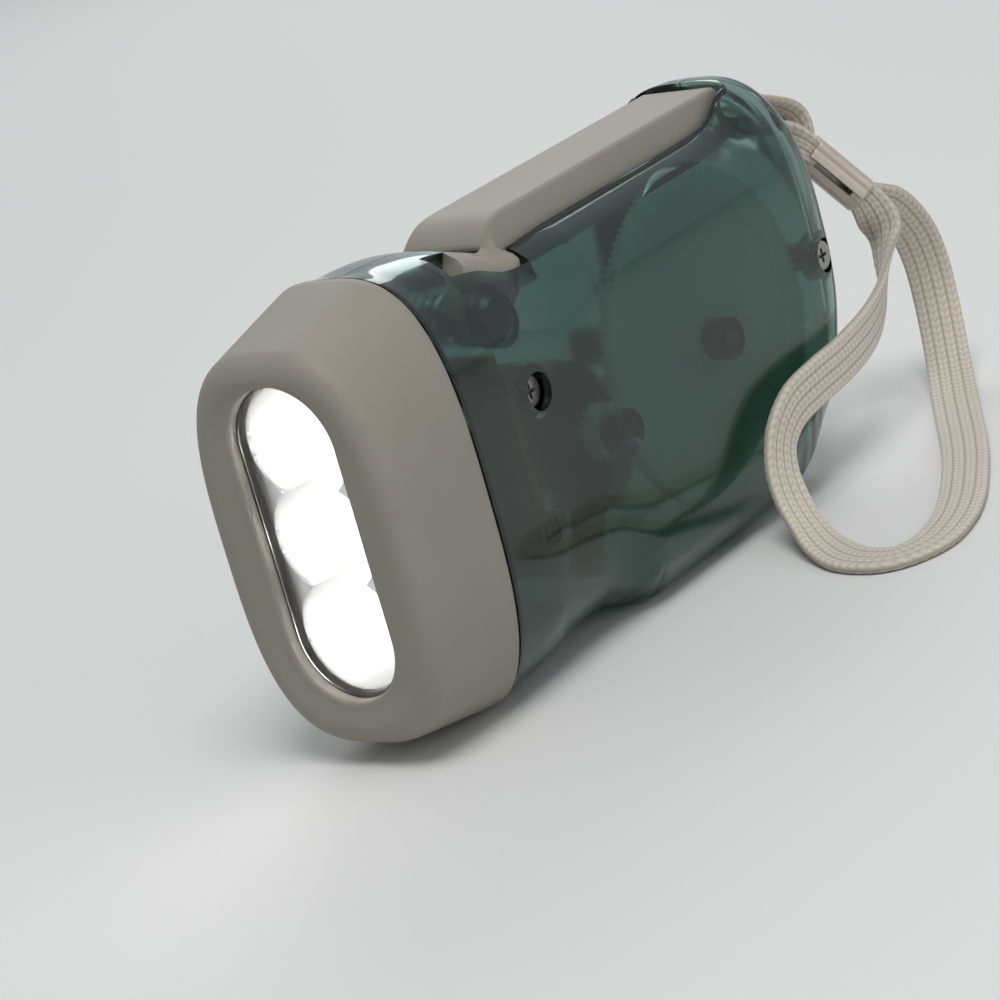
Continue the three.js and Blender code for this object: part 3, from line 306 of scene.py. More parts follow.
# The casing's cross-sections: the share of the way from the head's joint to
# the tail, then half-width, top, bottom as shares of the grip's, and squareness.
CASING_ROW_SHARES = np.array([
    [0, 1.07, 1.211, 0.991, 3], [0.034, 1.059, 1.19, 0.988, 3], [0.08, 1.042, 1.181, 0.976, 3.1],
    [0.126, 1.021, 1.164, 0.959, 3.2], [0.166, 1.007, 1.134, 0.931, 3.2],
    [0.195, 1.003, 1.091, 0.921, 3.2], [0.224, 1, 1.047, 0.914, 3.2], [0.264, 1, 1.017, 0.911, 3.3],
    [0.295, 1, 1.003, 0.925, 3.6], [0.32, 1, 1, 0.954, 3.9], [0.345, 1, 1, 0.987, 4.2],
    [0.372, 1, 1, 1, 4.5], [0.701, 1, 1, 1, 4.5], [0.758, 1, 1.004, 0.988, 4.4],
    [0.805, 1, 1.03, 0.955, 4], [0.833, 1, 1.086, 0.921, 3.6], [0.862, 1, 1.164, 0.873, 3.3],
    [0.891, 1, 1.198, 0.814, 3.2], [0.9195, 0.993, 1.194, 0.7285, 3], [0.9425, 0.965, 1.151, 0.632, 2.9],
    [0.963, 0.909, 1.06, 0.522, 2.8], [0.979, 0.811, 0.905, 0.395, 2.7],
    [0.99, 0.671, 0.711, 0.268, 2.6], [0.9965, 0.476, 0.474, 0.131, 2.5], [1, 0.24, 0.3, -0.007, 2.4],
])
CASING_STEPS = 6
SECTION_PLACES = 144


def between_rows(rows, steps):
    """Rows of a table with a smooth cubic through them, in equal steps from row to row."""
    ends = np.concatenate([[2 * rows[0] - rows[1]], rows, [2 * rows[-1] - rows[-2]]])
    at = np.linspace(0, len(rows) - 1, (len(rows) - 1) * steps + 1)
    first = np.minimum(at.astype(int), len(rows) - 2)
    t = (at - first)[:, None]
    a, b, c, d = (ends[first + k] for k in range(4))
    return 0.5 * (2 * b + (c - a) * t + (2 * a - 5 * b + 4 * c - d) * t ** 2
                  + (3 * b - a - 3 * c + d) * t ** 3)


def casing_rows():
    """The casing's table with a cubic between its rows that never overshoots: its slope at a row
    is the weighted harmonic mean of the slopes on both sides, and none where they turn."""
    along = CASING_ROW_SHARES[:, :1]
    values = CASING_ROW_SHARES[:, 1:]
    span = np.diff(along, axis=0)
    rise = np.diff(values, axis=0) / span
    before, after = 2 * span[1:] + span[:-1], span[1:] + 2 * span[:-1]
    same = rise[:-1] * rise[1:] > 0
    left, right = np.where(same, rise[:-1], 1), np.where(same, rise[1:], 1)
    slopes = np.where(same, (before + after) / (before / left + after / right), 0)
    slopes = np.concatenate([rise[:1], slopes, rise[-1:]])
    t = np.tile(np.linspace(0, 1, CASING_STEPS, endpoint=False), len(span))[:, None]
    first = np.repeat(np.arange(len(span)), CASING_STEPS)
    start, end = values[first], values[first + 1]
    into, out = slopes[first] * span[first], slopes[first + 1] * span[first]
    cubic = (start + into * t + (3 * (end - start) - 2 * into - out) * t ** 2
             + (2 * (start - end) + into + out) * t ** 3)
    rows = np.concatenate([along[first] + span[first] * t, cubic], -1)
    return np.concatenate([rows, CASING_ROW_SHARES[-1:]])


def section_rings(x, half_width, top, bottom, squareness, places=SECTION_PLACES):
    """Rings where |y / half_width|^n + |z / half_height|^n = 1 between top and bottom, at each x."""
    turn = np.linspace(0, 2 * np.pi, places, endpoint=False)[None, :]
    x, half_width, top, bottom, power = (
        np.atleast_1d(np.asarray(v, float))[:, None] for v in (x, half_width, top, bottom, squareness))
    across, up = np.cos(turn), np.sin(turn)
    y = half_width * np.sign(across) * np.abs(across) ** (2 / power)
    z = (top - bottom) / 2 + (top + bottom) / 2 * np.sign(up) * np.abs(up) ** (2 / power)
    return np.stack([np.broadcast_to(x, y.shape), y, z], -1)


def casing_rings(inset):
    """The casing's outer skin moved inwards; the tail moves forward in step."""
    along, across, up, down, squareness = casing_rows().T
    forward = inset * np.maximum(0, 2 * along - 1)
    x = JOINT + along * (BODY_LENGTH - JOINT) - forward
    return section_rings(x, GRIP_HALF_WIDTH * across - inset, RIM_TOP * up - inset,
                         GRIP_BOTTOM * down - inset, squareness)


def skin_at(x):
    """Half-width, top, bottom and squareness of the casing's skin at each x."""
    along, across, up, down, power = casing_rows().T
    share = (x - JOINT) / (BODY_LENGTH - JOINT)
    across, up, down, power = (np.interp(share, along, column) for column in (across, up, down, power))
    return GRIP_HALF_WIDTH * across, RIM_TOP * up, GRIP_BOTTOM * down, power


def head_rings(x, inset, places=SECTION_PLACES):
    """The head's outline at each x, moved inwards: its width follows a quarter sine, and its top
    and bottom run straight."""
    x, inset = np.broadcast_arrays(np.asarray(x, float), np.asarray(inset, float))
    share = x / HEAD_DEPTH
    swell = np.sin(np.pi / 2 * share)
    return section_rings(
        x, FACE_HALF_WIDTH + (HEAD_HALF_WIDTH - FACE_HALF_WIDTH) * swell - inset,
        FACE_TOP + (HEAD_TOP - FACE_TOP) * share - inset,
        FACE_BOTTOM + (HEAD_BOTTOM - FACE_BOTTOM) * share - inset, np.full(x.shape, 3.0), places)


# Materials

def material(name, colour, roughness, **sockets):
    """A named Principled material, its fixed values set on the shader's own sockets."""
    made = bpy.data.materials.new(name)
    made.use_nodes = True
    shader = made.node_tree.nodes["Principled BSDF"]
    shader.inputs["Base Color"].default_value = (*colour, 1)
    shader.inputs["Roughness"].default_value = roughness
    for socket, value in sockets.items():
        shader.inputs[socket.replace("_", " ")].default_value = value
    return made


def add_node(made, kind, **values):
    """A node with its properties or input defaults set by name."""
    node = made.node_tree.nodes.new(kind)
    for key, value in values.items():
        if hasattr(node, key):
            setattr(node, key, value)
        else:
            node.inputs[key.replace("_", " ")].default_value = value
    return node


def link(made, source, target):
    """Joins an output socket to an input socket."""
    made.node_tree.links.new(source, target)


def shader_of(made):
    """The material's Principled node."""
    return made.node_tree.nodes["Principled BSDF"]


def object_noise(made, **values):
    """Value of a noise on Object coordinates."""
    place = add_node(made, "ShaderNodeTexCoord")
    noise = add_node(made, "ShaderNodeTexNoise", **values)
    link(made, place.outputs["Object"], noise.inputs["Vector"])
    return noise.outputs["Fac"]


def grain(made, scale, depth, distance=0.0001):
    """Fine surface grain: noise on Object coordinates drives a bump."""
    noise = object_noise(made, Scale=scale, Detail=4)
    bump = add_node(made, "ShaderNodeBump", Strength=depth, Distance=distance)
    link(made, noise, bump.inputs["Height"])
    link(made, bump.outputs["Normal"], shader_of(made).inputs["Normal"])


def colour_between(made, value, places, colours):
    """Base colour by a value: one colour up to the first place, the other past the second."""
    ramp = add_node(made, "ShaderNodeValToRGB")
    for element, place, colour in zip(ramp.color_ramp.elements, places, colours):
        element.position = place
        element.color = (*colour, 1)
    link(made, value, ramp.inputs["Fac"])
    link(made, ramp.outputs["Color"], shader_of(made).inputs["Base Color"])


def mottle(made, scale, low, high, socket="Base Color", detail=6):
    """Slow variation between two colours, or two values, over Object coordinates."""
    noise = object_noise(made, Scale=scale, Detail=detail, Roughness=0.6)
    if socket == "Base Color":
        colour_between(made, noise, (0.3, 0.7), (low, high))
    else:
        reach = add_node(made, "ShaderNodeMapRange", From_Min=0.3, From_Max=0.7, To_Min=low, To_Max=high)
        link(made, noise, reach.inputs["Value"])
        link(made, reach.outputs["Result"], shader_of(made).inputs[socket])
    return made


def see_through(name, tint, smoothest, roughest):
    """Tinted clear plastic whose roughness wanders slowly between two values."""
    made = material(name, tint, smoothest, Transmission_Weight=1.0, IOR=1.49)
    return mottle(made, 90, smoothest, roughest, "Roughness", 2)


CASING_TINT = (0.2, 0.335, 0.295)
# The bosses get a much darker copy of the casing's tint: painted shade for light absorbed along their thick
# plastic, which a see-through surface alone does not give
BOSS_PAINTED_DARK_TINT = (0.035, 0.06, 0.055)
casing_outside = see_through("tinted casing, polished outside", CASING_TINT, 0.07, 0.1)
casing_inside = see_through("tinted casing, frosted inside", CASING_TINT, 0.13, 0.17)
casing_bosses_painted_dark = see_through("tinted casing, bosses painted dark", BOSS_PAINTED_DARK_TINT, 0.18, 0.22)
grey_plastic = material("warm grey moulded plastic", (0.262, 0.241, 0.204), 0.6)
mottle(grey_plastic, 90, (0.253, 0.232, 0.195), (0.271, 0.25, 0.213))
grain(grey_plastic, 2600, 0.25, 0.00003)
clear_plastic = material("clear window", (0.97, 0.98, 0.98), 0.03, Transmission_Weight=1.0, IOR=1.49)
chrome = material("bright reflector coat", (0.9, 0.9, 0.9), 0.3, Metallic=1.0)
grain(chrome, 900, 0.12, 0.00004)
lamp_resin = material("lit lamp resin", (0.95, 0.95, 0.92), 0.15)
shader_of(lamp_resin).inputs["Emission Color"].default_value = (1.0, 0.98, 0.94, 1)
shader_of(lamp_resin).inputs["Emission Strength"].default_value = 55.0
lamp_base = material("clear lamp resin behind the light", (0.8, 0.8, 0.76), 0.2)
grain(lamp_base, 900, 0.1)
board_brown = material("lamp board", (0.24, 0.13, 0.05), 0.6)
mottle(board_brown, 400, (0.2, 0.11, 0.045), (0.3, 0.17, 0.07))
grain(board_brown, 3000, 0.2)
gear_plastic = material("natural gear plastic", (0.9, 0.92, 0.8), 0.5,
                        Subsurface_Weight=1.0, Subsurface_Scale=0.005)
shader_of(gear_plastic).inputs["Subsurface Radius"].default_value = (1.0, 1.0, 0.8)
mottle(gear_plastic, 150, (0.88, 0.9, 0.78), (0.93, 0.95, 0.83))
grain(gear_plastic, 1500, 0.15)
steel = material("bright steel", (0.62, 0.61, 0.6), 0.3, Metallic=1.0)
mottle(steel, 700, 0.25, 0.4, "Roughness")
# Darker than the bright steel: painted shade of the screws' deep recesses, on a slightly rougher steel
screw_steel_painted_dark = material("screw steel painted dark", (0.34, 0.33, 0.31), 0.35, Metallic=1.0)
mottle(screw_steel_painted_dark, 700, 0.3, 0.42, "Roughness")
band_metal = material("satin crimp metal", (0.6, 0.53, 0.47), 0.38, Metallic=0.85)
mottle(band_metal, 600, 0.3, 0.46, "Roughness")
grain(band_metal, 2400, 0.15)
magnet_black = material("dark ring magnet", (0.04, 0.04, 0.043), 0.5)
grain(magnet_black, 2500, 0.4)
iron = material("pressed iron yoke", (0.1, 0.095, 0.09), 0.45, Metallic=0.6)
grain(iron, 1800, 0.3)
copper = material("enamelled winding", (0.3, 0.12, 0.05), 0.35, Metallic=0.6)
grain(copper, 1200, 0.4)
lead_red = material("lead insulation", (0.4, 0.03, 0.02), 0.5)
grain(lead_red, 900, 0.2)

# The braid is painted darker between its stitches, as shade in its low places, by the height that each
# corner of its mesh carries
YARN_SHADE_COLOURS = ((0.36, 0.32, 0.26), (0.64, 0.585, 0.505))
strap_yarn = material("pale braided yarn", (0.52, 0.47, 0.4), 0.88, Sheen_Weight=0.25, Sheen_Roughness=0.5)
grain(strap_yarn, 5200, 0.35, 0.00008)
# Painted shade: the stitch height picks the darker yarn colour in the low places and the paler one on the
# stitches
stitch = add_node(strap_yarn, "ShaderNodeAttribute", attribute_name="stitch_height")
colour_between(strap_yarn, stitch.outputs["Fac"], (0.2, 0.95), YARN_SHADE_COLOURS)


# Wrist strap

# Route of the wrist loop: place x, y, z, then the direction across it
STRAP_ROUTE = np.array([
    [123.8, -8.2, -0.6, -0.56, 0.7, -0.4], [127, -8, -3.4, -0.56, 0.75, -0.2],
    [129.6, -8, -7.4, -0.56, 0.79, -0.05], [130.8, -8, -12, -0.56, 0.79, 0],
    [130.4, -8.4, -17, -0.56, 0.79, 0], [128, -9.8, -21.8, -0.56, 0.8, 0],
    [123.6, -12.4, -25.6, -0.56, 0.82, 0], [116.6, -16.7, -27.7, -0.55, 0.83, 0],
    [109, -21.6, -28.2, -0.55, 0.83, 0], [101, -26.8, -28.2, -0.53, 0.85, 0],
    [93.4, -31.4, -28.2, -0.5, 0.86, 0], [86.2, -35.3, -28.2, -0.46, 0.89, 0],
    [79, -38.8, -28.2, -0.42, 0.9, 0], [72, -41.2, -28.2, -0.22, 0.97, 0],
    [65.2, -41.8, -28.2, 0.25, 0.97, 0], [60.6, -39, -28.2, 0.85, 0.5, 0],
    [60.4, -33.6, -28.2, 0.95, -0.3, 0], [63, -28.4, -27.9, 0.88, -0.45, -0.1],
    [66.4, -23.6, -26.6, 0.8, -0.45, -0.4], [69, -20, -23.8, 0.8, -0.3, -0.5],
    [71, -18, -20, 0.85, -0.1, -0.5], [73.6, -17.2, -16.4, 0.7, 0, -0.7], [78, -17, -13.8, 0.35, 0, -0.9],
    [84.4, -17, -12.8, 0.12, 0, -1], [91, -16.6, -12.6, 0, 0, -1], [97.6, -15.6, -12.4, 0, 0, -1],
    [104, -14, -12.2, 0.1, 0.1, -1], [109.8, -12.2, -11.6, 0.4, 0.3, -0.85],
    [114.6, -10.8, -9.8, 0.6, 0.5, -0.6], [117.8, -9.8, -6.8, 0.45, 0.7, -0.4],
    [119.8, -9.4, -3.4, 0, 0.8, -0.5],
])

# Route of the short bight, out to the post and back from it
BIGHT_OUT = [[112, -3.6, 16, -0.4, 0.8, -0.3], [109.2, -2.4, 19.6, -0.1, 0.95, 0],
             [104.6, -0.7, 22, 0, 1, 0]]
BIGHT_BACK = [[104.6, -0.7, 17, 0, 1, 0], [108.6, -2.6, 15.4, -0.15, 0.9, -0.2]]
ROUTE_STEPS = 40
PATH_EVERY = 20

# Tape: a flat section with round edges, gathered where its ends enter the ferrule
STRAP_WIDTH = 6.5
STRAP_THICKNESS = 1.2
STRAP_EDGE = 0.42
STRAP_RIBS = 4
FLAT_PLACES = 29
STITCH_PITCH = 1.16
STITCH_STEP = 0.23
STITCH_RISE = 0.15
STITCH_LOW = 0.45
GROOVE_DEPTH = 0.3
GROOVE_WIDTH = 0.16
WAVER = 0.012
WAVER_LENGTH = 7.3
GATHER = 0.7
GATHER_LENGTH = 5.0

# Ferrule: its two ends, the direction across it, and its band of sheet metal
FERRULE_TAIL = np.array([112.6, -5.0, 11.4])
FERRULE_LOOP = np.array([118.3, -7.9, 2.8])
FERRULE_ACROSS = np.array([-0.54, 0.65, -0.57])
INSIDE_FERRULE = 1.6
BAND_HALF_WIDTH = 2.5
BAND_HALF_DEPTH = 1.6
BAND_POWER = 3.4
BAND_SHEET = 0.4
SEAM_TURN = -84
SEAM_HALF_OPENING = 6
CREASE_ACROSS = -1.2
CREASE_DEPTH = 0.2
CREASE_WIDTH = 0.4
SWELL_HEIGHT = 0.22
SWELL_WIDTH = 0.5


def unit(vectors):
    """Vectors divided by their own length."""
    return vectors / np.linalg.norm(vectors, axis=-1, keepdims=True)


FERRULE_ALONG = unit(FERRULE_LOOP - FERRULE_TAIL)
FERRULE_THROUGH = unit(np.cross(FERRULE_ALONG, FERRULE_ACROSS))


def strap_end(place, distance, side):
    """Where one of the two layers passes a ferrule end, with the direction across it."""
    aside = side * (STRAP_THICKNESS + GAP) / 2
    return np.concatenate([place + FERRULE_ALONG * distance + FERRULE_THROUGH * aside, FERRULE_ACROSS])


def centripetal(points, steps):
    """Places on a centripetal Catmull-Rom curve, in equal steps from point to point."""
    ends = np.concatenate([[2 * points[0] - points[1]], points, [2 * points[-1] - points[-2]]])
    at = np.linspace(0, len(points) - 1, (len(points) - 1) * steps + 1)
    first = np.minimum(at.astype(int), len(points) - 2)
    t = (at - first)[:, None]
    a, b, c, d = (ends[first + k] for k in range(4))
    ab, bc, cd = (np.sqrt(np.linalg.norm(q - p, axis=-1, keepdims=True))
                  for p, q in ((a, b), (b, c), (c, d)))
    into = ((b - a) / ab - (c - a) / (ab + bc) + (c - b) / bc) * bc
    out = ((c - b) / bc - (d - b) / (bc + cd) + (d - c) / cd) * bc
    return b + into * t + (3 * (c - b) - 2 * into - out) * t ** 2 + (2 * (b - c) + into + out) * t ** 3


def tape_frame(rows):
    """Evenly spaced places along a tape's route with its across and outward directions."""
    places = centripetal(rows[:, :3], ROUTE_STEPS)
    acrosses = between_rows(rows[:, 3:], ROUTE_STEPS)
    length = np.concatenate([[0], np.cumsum(np.linalg.norm(np.diff(places, axis=0), axis=-1))])
    even = np.linspace(0, length[-1], int(length[-1] / STITCH_STEP) + 1)
    places = np.stack([np.interp(even, length, places[:, k]) for k in range(3)], -1)
    acrosses = np.stack([np.interp(even, length, acrosses[:, k]) for k in range(3)], -1)
    along = unit(np.gradient(places, axis=0))
    across = unit(acrosses - along * np.sum(acrosses * along, -1, keepdims=True))
    return even, places, across, np.cross(along, across)


def braided_tape(name, rows):
    """A flat braid: a round-edged section carried along the route. Its faces rise by
    h = 0.15 sqrt(1 - t^4) (0.45 + 0.55 |sin(pi (s / pitch + |t| / 2))|^0.7), with t across each
    of four ribs and s along the tape, so every rib is a row of V-shaped stitches. A groove
    1 - 0.3 exp(-(t / 0.16)^2) runs down each rib, and the tape narrows at its gathered ends."""
    along, places, across, out = tape_frame(rows)
    half = STRAP_WIDTH / 2
    turn = np.linspace(-np.pi / 2, np.pi / 2, 7)[1:-1]
    reach = half - STRAP_EDGE
    line = np.linspace(-reach, reach, FLAT_PLACES)
    level = np.full(FLAT_PLACES, STRAP_EDGE)
    still, up = np.zeros(FLAT_PLACES), np.ones(FLAT_PLACES)
    lift_u = np.concatenate([still, -np.cos(turn[::-1]), still, np.cos(turn)])
    lift_v = np.concatenate([up, np.sin(turn[::-1]), -up, np.sin(turn)])
    u = np.concatenate([line[::-1], -reach - STRAP_EDGE * np.cos(turn[::-1]),
                        line, reach + STRAP_EDGE * np.cos(turn)])
    v = np.concatenate([level, STRAP_EDGE * np.sin(turn[::-1]), -level, STRAP_EDGE * np.sin(turn)])
    rib = (u + half) / STRAP_WIDTH * STRAP_RIBS
    t = 2 * (rib - np.floor(np.minimum(rib, STRAP_RIBS - 1e-6))) - 1
    phase = along[:, None] / STITCH_PITCH + np.abs(t) / 2 + 0.5 * (v < 0)
    stitch = np.abs(np.sin(np.pi * phase)) ** 0.7
    groove = 1 - GROOVE_DEPTH * np.exp(-(t / GROOVE_WIDTH) ** 2)
    height = np.sqrt(np.clip(1 - t ** 4, 0.03, 1)) * (STITCH_LOW + (1 - STITCH_LOW) * stitch) * groove
    grow = STITCH_RISE * height
    to_end = np.minimum(along, along[-1] - along)[:, None]
    ease = (1 + WAVER * np.sin(along / WAVER_LENGTH)[:, None]
            - (1 - GATHER) * np.exp(-(to_end / GATHER_LENGTH) ** 2))
    side = u * ease + lift_u * grow
    rise = v + lift_v * grow
    rings = places[:, None] + across[:, None] * side[..., None] + out[:, None] * rise[..., None]
    piece = closed(name, rings, [strap_yarn])
    # The height is also kept on the corners, where the yarn material paints shade in the low places from it
    depth = piece.data.attributes.new("stitch_height", "FLOAT", "POINT")
    depth.data.foreach_set("value", height.astype(np.float32).ravel())
    corners = mesh_numbers(piece.data.loops, "vertex_index", 1, int)[:, 0]
    flat_uv = np.stack([np.broadcast_to(u / STRAP_WIDTH, height.shape),
                        np.broadcast_to(along[:, None] / STRAP_WIDTH, height.shape)], -1).reshape(-1, 2)
    uv = piece.data.uv_layers.new(name="UVMap")
    uv.data.foreach_set("uv", flat_uv[corners].astype(np.float32).ravel())
    smooth(piece, 60)
    path = (places[::PATH_EVERY] + FACE_PLACE) * METRE
    return piece, np.concatenate([path, [(places[-1] + FACE_PLACE) * METRE]]), along[-1] * METRE


def ferrule_band():
    """Crimped metal band: a sheet bent round a flat oval |u / 2.5|^3.4 + |v / 1.6|^3.4 = 1. Its two
    edges swell and roll inwards at a narrow seam on the near face, with a shallow crease beside it."""
    turn = np.radians(np.linspace(SEAM_TURN + SEAM_HALF_OPENING, SEAM_TURN + 360 - SEAM_HALF_OPENING, 91))
    power = 2 / BAND_POWER
    u = BAND_HALF_WIDTH * np.sign(np.cos(turn)) * np.abs(np.cos(turn)) ** power
    v = BAND_HALF_DEPTH * np.sign(np.sin(turn)) * np.abs(np.sin(turn)) ** power
    seam_u = BAND_HALF_WIDTH * np.cos(np.radians(SEAM_TURN)) ** power
    crease = CREASE_DEPTH * np.exp(-((u - CREASE_ACROSS) / CREASE_WIDTH) ** 2)
    swell = SWELL_HEIGHT * np.exp(-((u - seam_u) / SWELL_WIDTH) ** 2)
    v += (v < 0) * (crease - swell)
    start, end = np.array([u[0], v[0]]), np.array([u[-1], v[-1]])
    roll = np.array([[0.02, 0.5], [0.0, 0.28], [-0.08, 0.1]])
    middle = np.concatenate([start + roll * [-1, 1], np.stack([u, v], -1), end + roll[::-1]])
    tangent = unit(np.gradient(middle, axis=0))
    normal = np.stack([tangent[:, 1], -tangent[:, 0]], -1) * BAND_SHEET / 2
    u, v = np.concatenate([middle + normal, (middle - normal)[::-1]]).T
    share = np.array([0, 0.02, 0.05, 0.5, 0.95, 0.98, 1])
    scale = np.array([0.98, 1.02, 1.0, 1.0, 1.0, 1.02, 0.98])
    centre = FERRULE_TAIL + (FERRULE_LOOP - FERRULE_TAIL) * share[:, None]
    wide = unit(FERRULE_ACROSS - FERRULE_ALONG * FERRULE_ALONG.dot(FERRULE_ACROSS))
    rings = (centre[:, None] + wide * u[None, :, None]
             + FERRULE_THROUGH * (v[None, :] * scale[:, None])[..., None])
    band = closed("strap_ferrule_band", rings, [band_metal])
    smooth(band, 40)
    placed(band, "strap_ferrule", "casing")
    return band


def wrist_strap():
    """The wrist loop from the ferrule round to the ferrule, and the short bight round the post."""
    band = ferrule_band()
    loop_rows = np.array([
        strap_end(FERRULE_LOOP, -INSIDE_FERRULE, 1), strap_end(FERRULE_LOOP, STRAP_THICKNESS, 1),
        *STRAP_ROUTE,
        strap_end(FERRULE_LOOP, STRAP_THICKNESS, -1), strap_end(FERRULE_LOOP, -INSIDE_FERRULE, -1)])
    loop, path, length = braided_tape("wrist_strap_loop", loop_rows)
    turn_radius = POST_RADIUS + GAP + STRAP_THICKNESS / 2
    turns = np.linspace(np.pi / 2, 3 * np.pi / 2, 6)
    round_post = [[ANCHOR[0] + turn_radius * x, 0, ANCHOR[1] + turn_radius * z, 0, 1, 0]
                  for x, z in zip(np.cos(turns), np.sin(turns))]
    bight_rows = np.array([
        strap_end(FERRULE_TAIL, INSIDE_FERRULE, 1), strap_end(FERRULE_TAIL, -STRAP_THICKNESS, 1),
        *BIGHT_OUT, *round_post, *BIGHT_BACK,
        strap_end(FERRULE_TAIL, -STRAP_THICKNESS, -1), strap_end(FERRULE_TAIL, INSIDE_FERRULE, -1)])
    bight, _, _ = braided_tape("strap_bight_tape", bight_rows)
    placed(loop, "wrist_strap", "casing")
    placed(bight, "strap_bight", "casing")


wrist_strap()


# Casing halves

def across_from(side, start, end):
    """Two distances from the middle plane as y places on one side, low first."""
    return sorted((side * start, side * end))


def rim_bead(side):
    """Thin rounded lip beside the lever well: circles carried along the skin's height at their y,
    which close to a round end at the well's front and back."""
    x = np.linspace(BEAD_FRONT, BEAD_END, 70)
    half_width, top, bottom, power = skin_at(x)
    y = side * (WELL_HALF_WIDTH + BEAD_RADIUS)
    rise = (1 - (abs(y) / half_width) ** power) ** (1 / power)
    z = (top - bottom) / 2 + (top + bottom) / 2 * rise - BEAD_SINK
    turn = np.linspace(0, 2 * np.pi, BEAD_SIDES, endpoint=False)
    radius = BEAD_RADIUS * np.minimum(1, np.sqrt(1.02 - np.linspace(-1, 1, len(x)) ** 40))
    rings = np.stack([np.repeat(x[:, None], BEAD_SIDES, 1), y + radius[:, None] * np.cos(turn),
                      z[:, None] + radius[:, None] * np.sin(turn)], -1)
    return closed("rim bead", rings)


def casing_skin(side):
    """The outer skin of one half with the steps that make it a shell: the spigot joins it, and the
    hollow, throat, lever well, gear room, foot, parting gap, hinge notch and pocket cut it."""
    fit = BEZEL_WALL + GAP
    spigot_front = HEAD_DEPTH - SPIGOT_LENGTH
    spigot_end = JOINT + SPIGOT_SHOULDER
    reach = BODY_LENGTH + OVERRUN
    spigot = np.concatenate([head_rings([spigot_front, HEAD_DEPTH], fit),
                             head_rings([HEAD_DEPTH], fit) + [spigot_end - HEAD_DEPTH, 0, 0]])
    head_end = block(0, spigot_end, -PAST, PAST, -PAST, PAST)
    hollow = combined("hollow", closed("inner skin", casing_rings(SHELL_WALL)), [("DIFFERENCE", head_end)])
    skin = closed("outer skin", casing_rings(0))
    throat = slot_bar(spigot_front - OVERRUN, spigot_end + OVERRUN, THROAT_HALF_WIDTH, THROAT_HALF_HEIGHT)
    this_side = across_from(side, PARTING_GAP / 2, PAST)
    notch = across_from(side, TONGUE_HALF_WIDTH, NOTCH_HALF_WIDTH)
    return skin, [
        ("UNION", closed("spigot", spigot)),
        ("DIFFERENCE", hollow),
        ("DIFFERENCE", throat),
        ("DIFFERENCE", block(TONGUE_END, TAIL_LIP, -WELL_HALF_WIDTH, WELL_HALF_WIDTH, WELL_FLOOR, PAST)),
        ("DIFFERENCE", bar_y(WHEEL_ROOM, -BOSS_START, 0, *WHEEL, sides=160)),
        ("DIFFERENCE", block(-OVERRUN, reach, -PAST, PAST, -PAST, -BASE_DEPTH)),
        ("INTERSECT", block(-OVERRUN, reach, *this_side, -PAST, PAST)),
        ("DIFFERENCE", block(NOTCH_FRONT, NOTCH_END, *notch, WELL_FLOOR, PAST)),
        ("DIFFERENCE", pocket_bar(POCKET_FRONT, reach, POCKET_HALF_WIDTH, POCKET_HALF_HEIGHT, ANCHOR[1])),
    ]


def bosses_and_bores(side):
    """Bars that stand in one half and bars that are bored out of it, each as its radius, start and
    end from the middle plane, x and z."""
    wall = GRIP_HALF_WIDTH
    wheel_start, rotor_start = BOSS_START, BOSS_START
    if side > 0:
        wheel_start, rotor_start = FAR_WHEEL_BOSS_START, FAR_ROTOR_BOSS_START
    shaft_end = SHAFT_HALF_LENGTH + GAP
    towers = [(HINGE_BOSS_RADIUS, BOSS_START, wall, *PIVOT), (BOSS_RADIUS, wheel_start, wall, *WHEEL),
              (BOSS_RADIUS, rotor_start, wall, *ROTOR), (POST_RADIUS, PARTING_GAP / 2, wall, *ANCHOR)]
    bores = [(HINGE_BORE, HINGE_BORE_START, TRUNNION_END + GAP, *PIVOT),
             (WHEEL_BORE, wheel_start - BORE_LEAD, shaft_end, *WHEEL),
             (ROTOR_BORE, rotor_start - BORE_LEAD, shaft_end, *ROTOR)]
    for place, floor in SCREWS:
        if side < 0:
            towers.append((SCREW_BOSS_RADIUS, floor - SCREW_SEAT, wall, *place))
            bores.append((SCREW_RECESS, floor, SCREW_RECESS_END, *place))
            bores.append((SCREW_HOLE, SCREW_HOLE_START, floor + BORE_LEAD, *place))
        else:
            towers.append((SCREW_POST_RADIUS, GAP - floor + SCREW_SEAT, wall, *place))
            bores.append((SCREW_HOLE, -floor, SCREW_DEPTH - floor, *place))
    if side > 0:
        for turn in np.radians(YOKE_POST_TURNS):
            place = (ROTOR[0] + YOKE_POST_REACH * np.cos(turn), ROTOR[1] + YOKE_POST_REACH * np.sin(turn))
            towers.append((YOKE_POST_RADIUS, YOKE_POST_START, wall, *place))
    return towers, bores


def casing_half(name, side, node):
    """One half of the see-through casing: its shell, then its bosses, board ribs and post half,
    kept within the wall, the lip beside the lever well, and the bores."""
    skin, steps = casing_skin(side)
    towers, bores = bosses_and_bores(side)
    room = closed("room", casing_rings(SHELL_WALL / 2))
    parts = [bar_y(radius, *across_from(side, start, end), x, z) for radius, start, end, x, z in towers]
    thick, inner, low, high = BOARD_RIB
    for x in BOARD_RIBS:
        for bottom in (low, -low - high):
            rib = across_from(side, inner, GRIP_HALF_WIDTH)
            parts.append(block(x, x + thick, *rib, bottom, bottom + high))
    joined = [("UNION", part) for part in parts[1:]]
    fittings = combined("fittings", parts[0], joined + [("INTERSECT", room)])
    steps += [("UNION", fittings), ("UNION", rim_bead(side))]
    for radius, start, end, x, z in bores:
        steps.append(("DIFFERENCE", bar_y(radius, *across_from(side, start, end), x, z)))
    half = combined(name, skin, steps, [casing_outside, casing_inside, casing_bosses_painted_dark])
    frost_inside(half, towers)
    smooth(half, 28)
    placed(half, node, "casing")


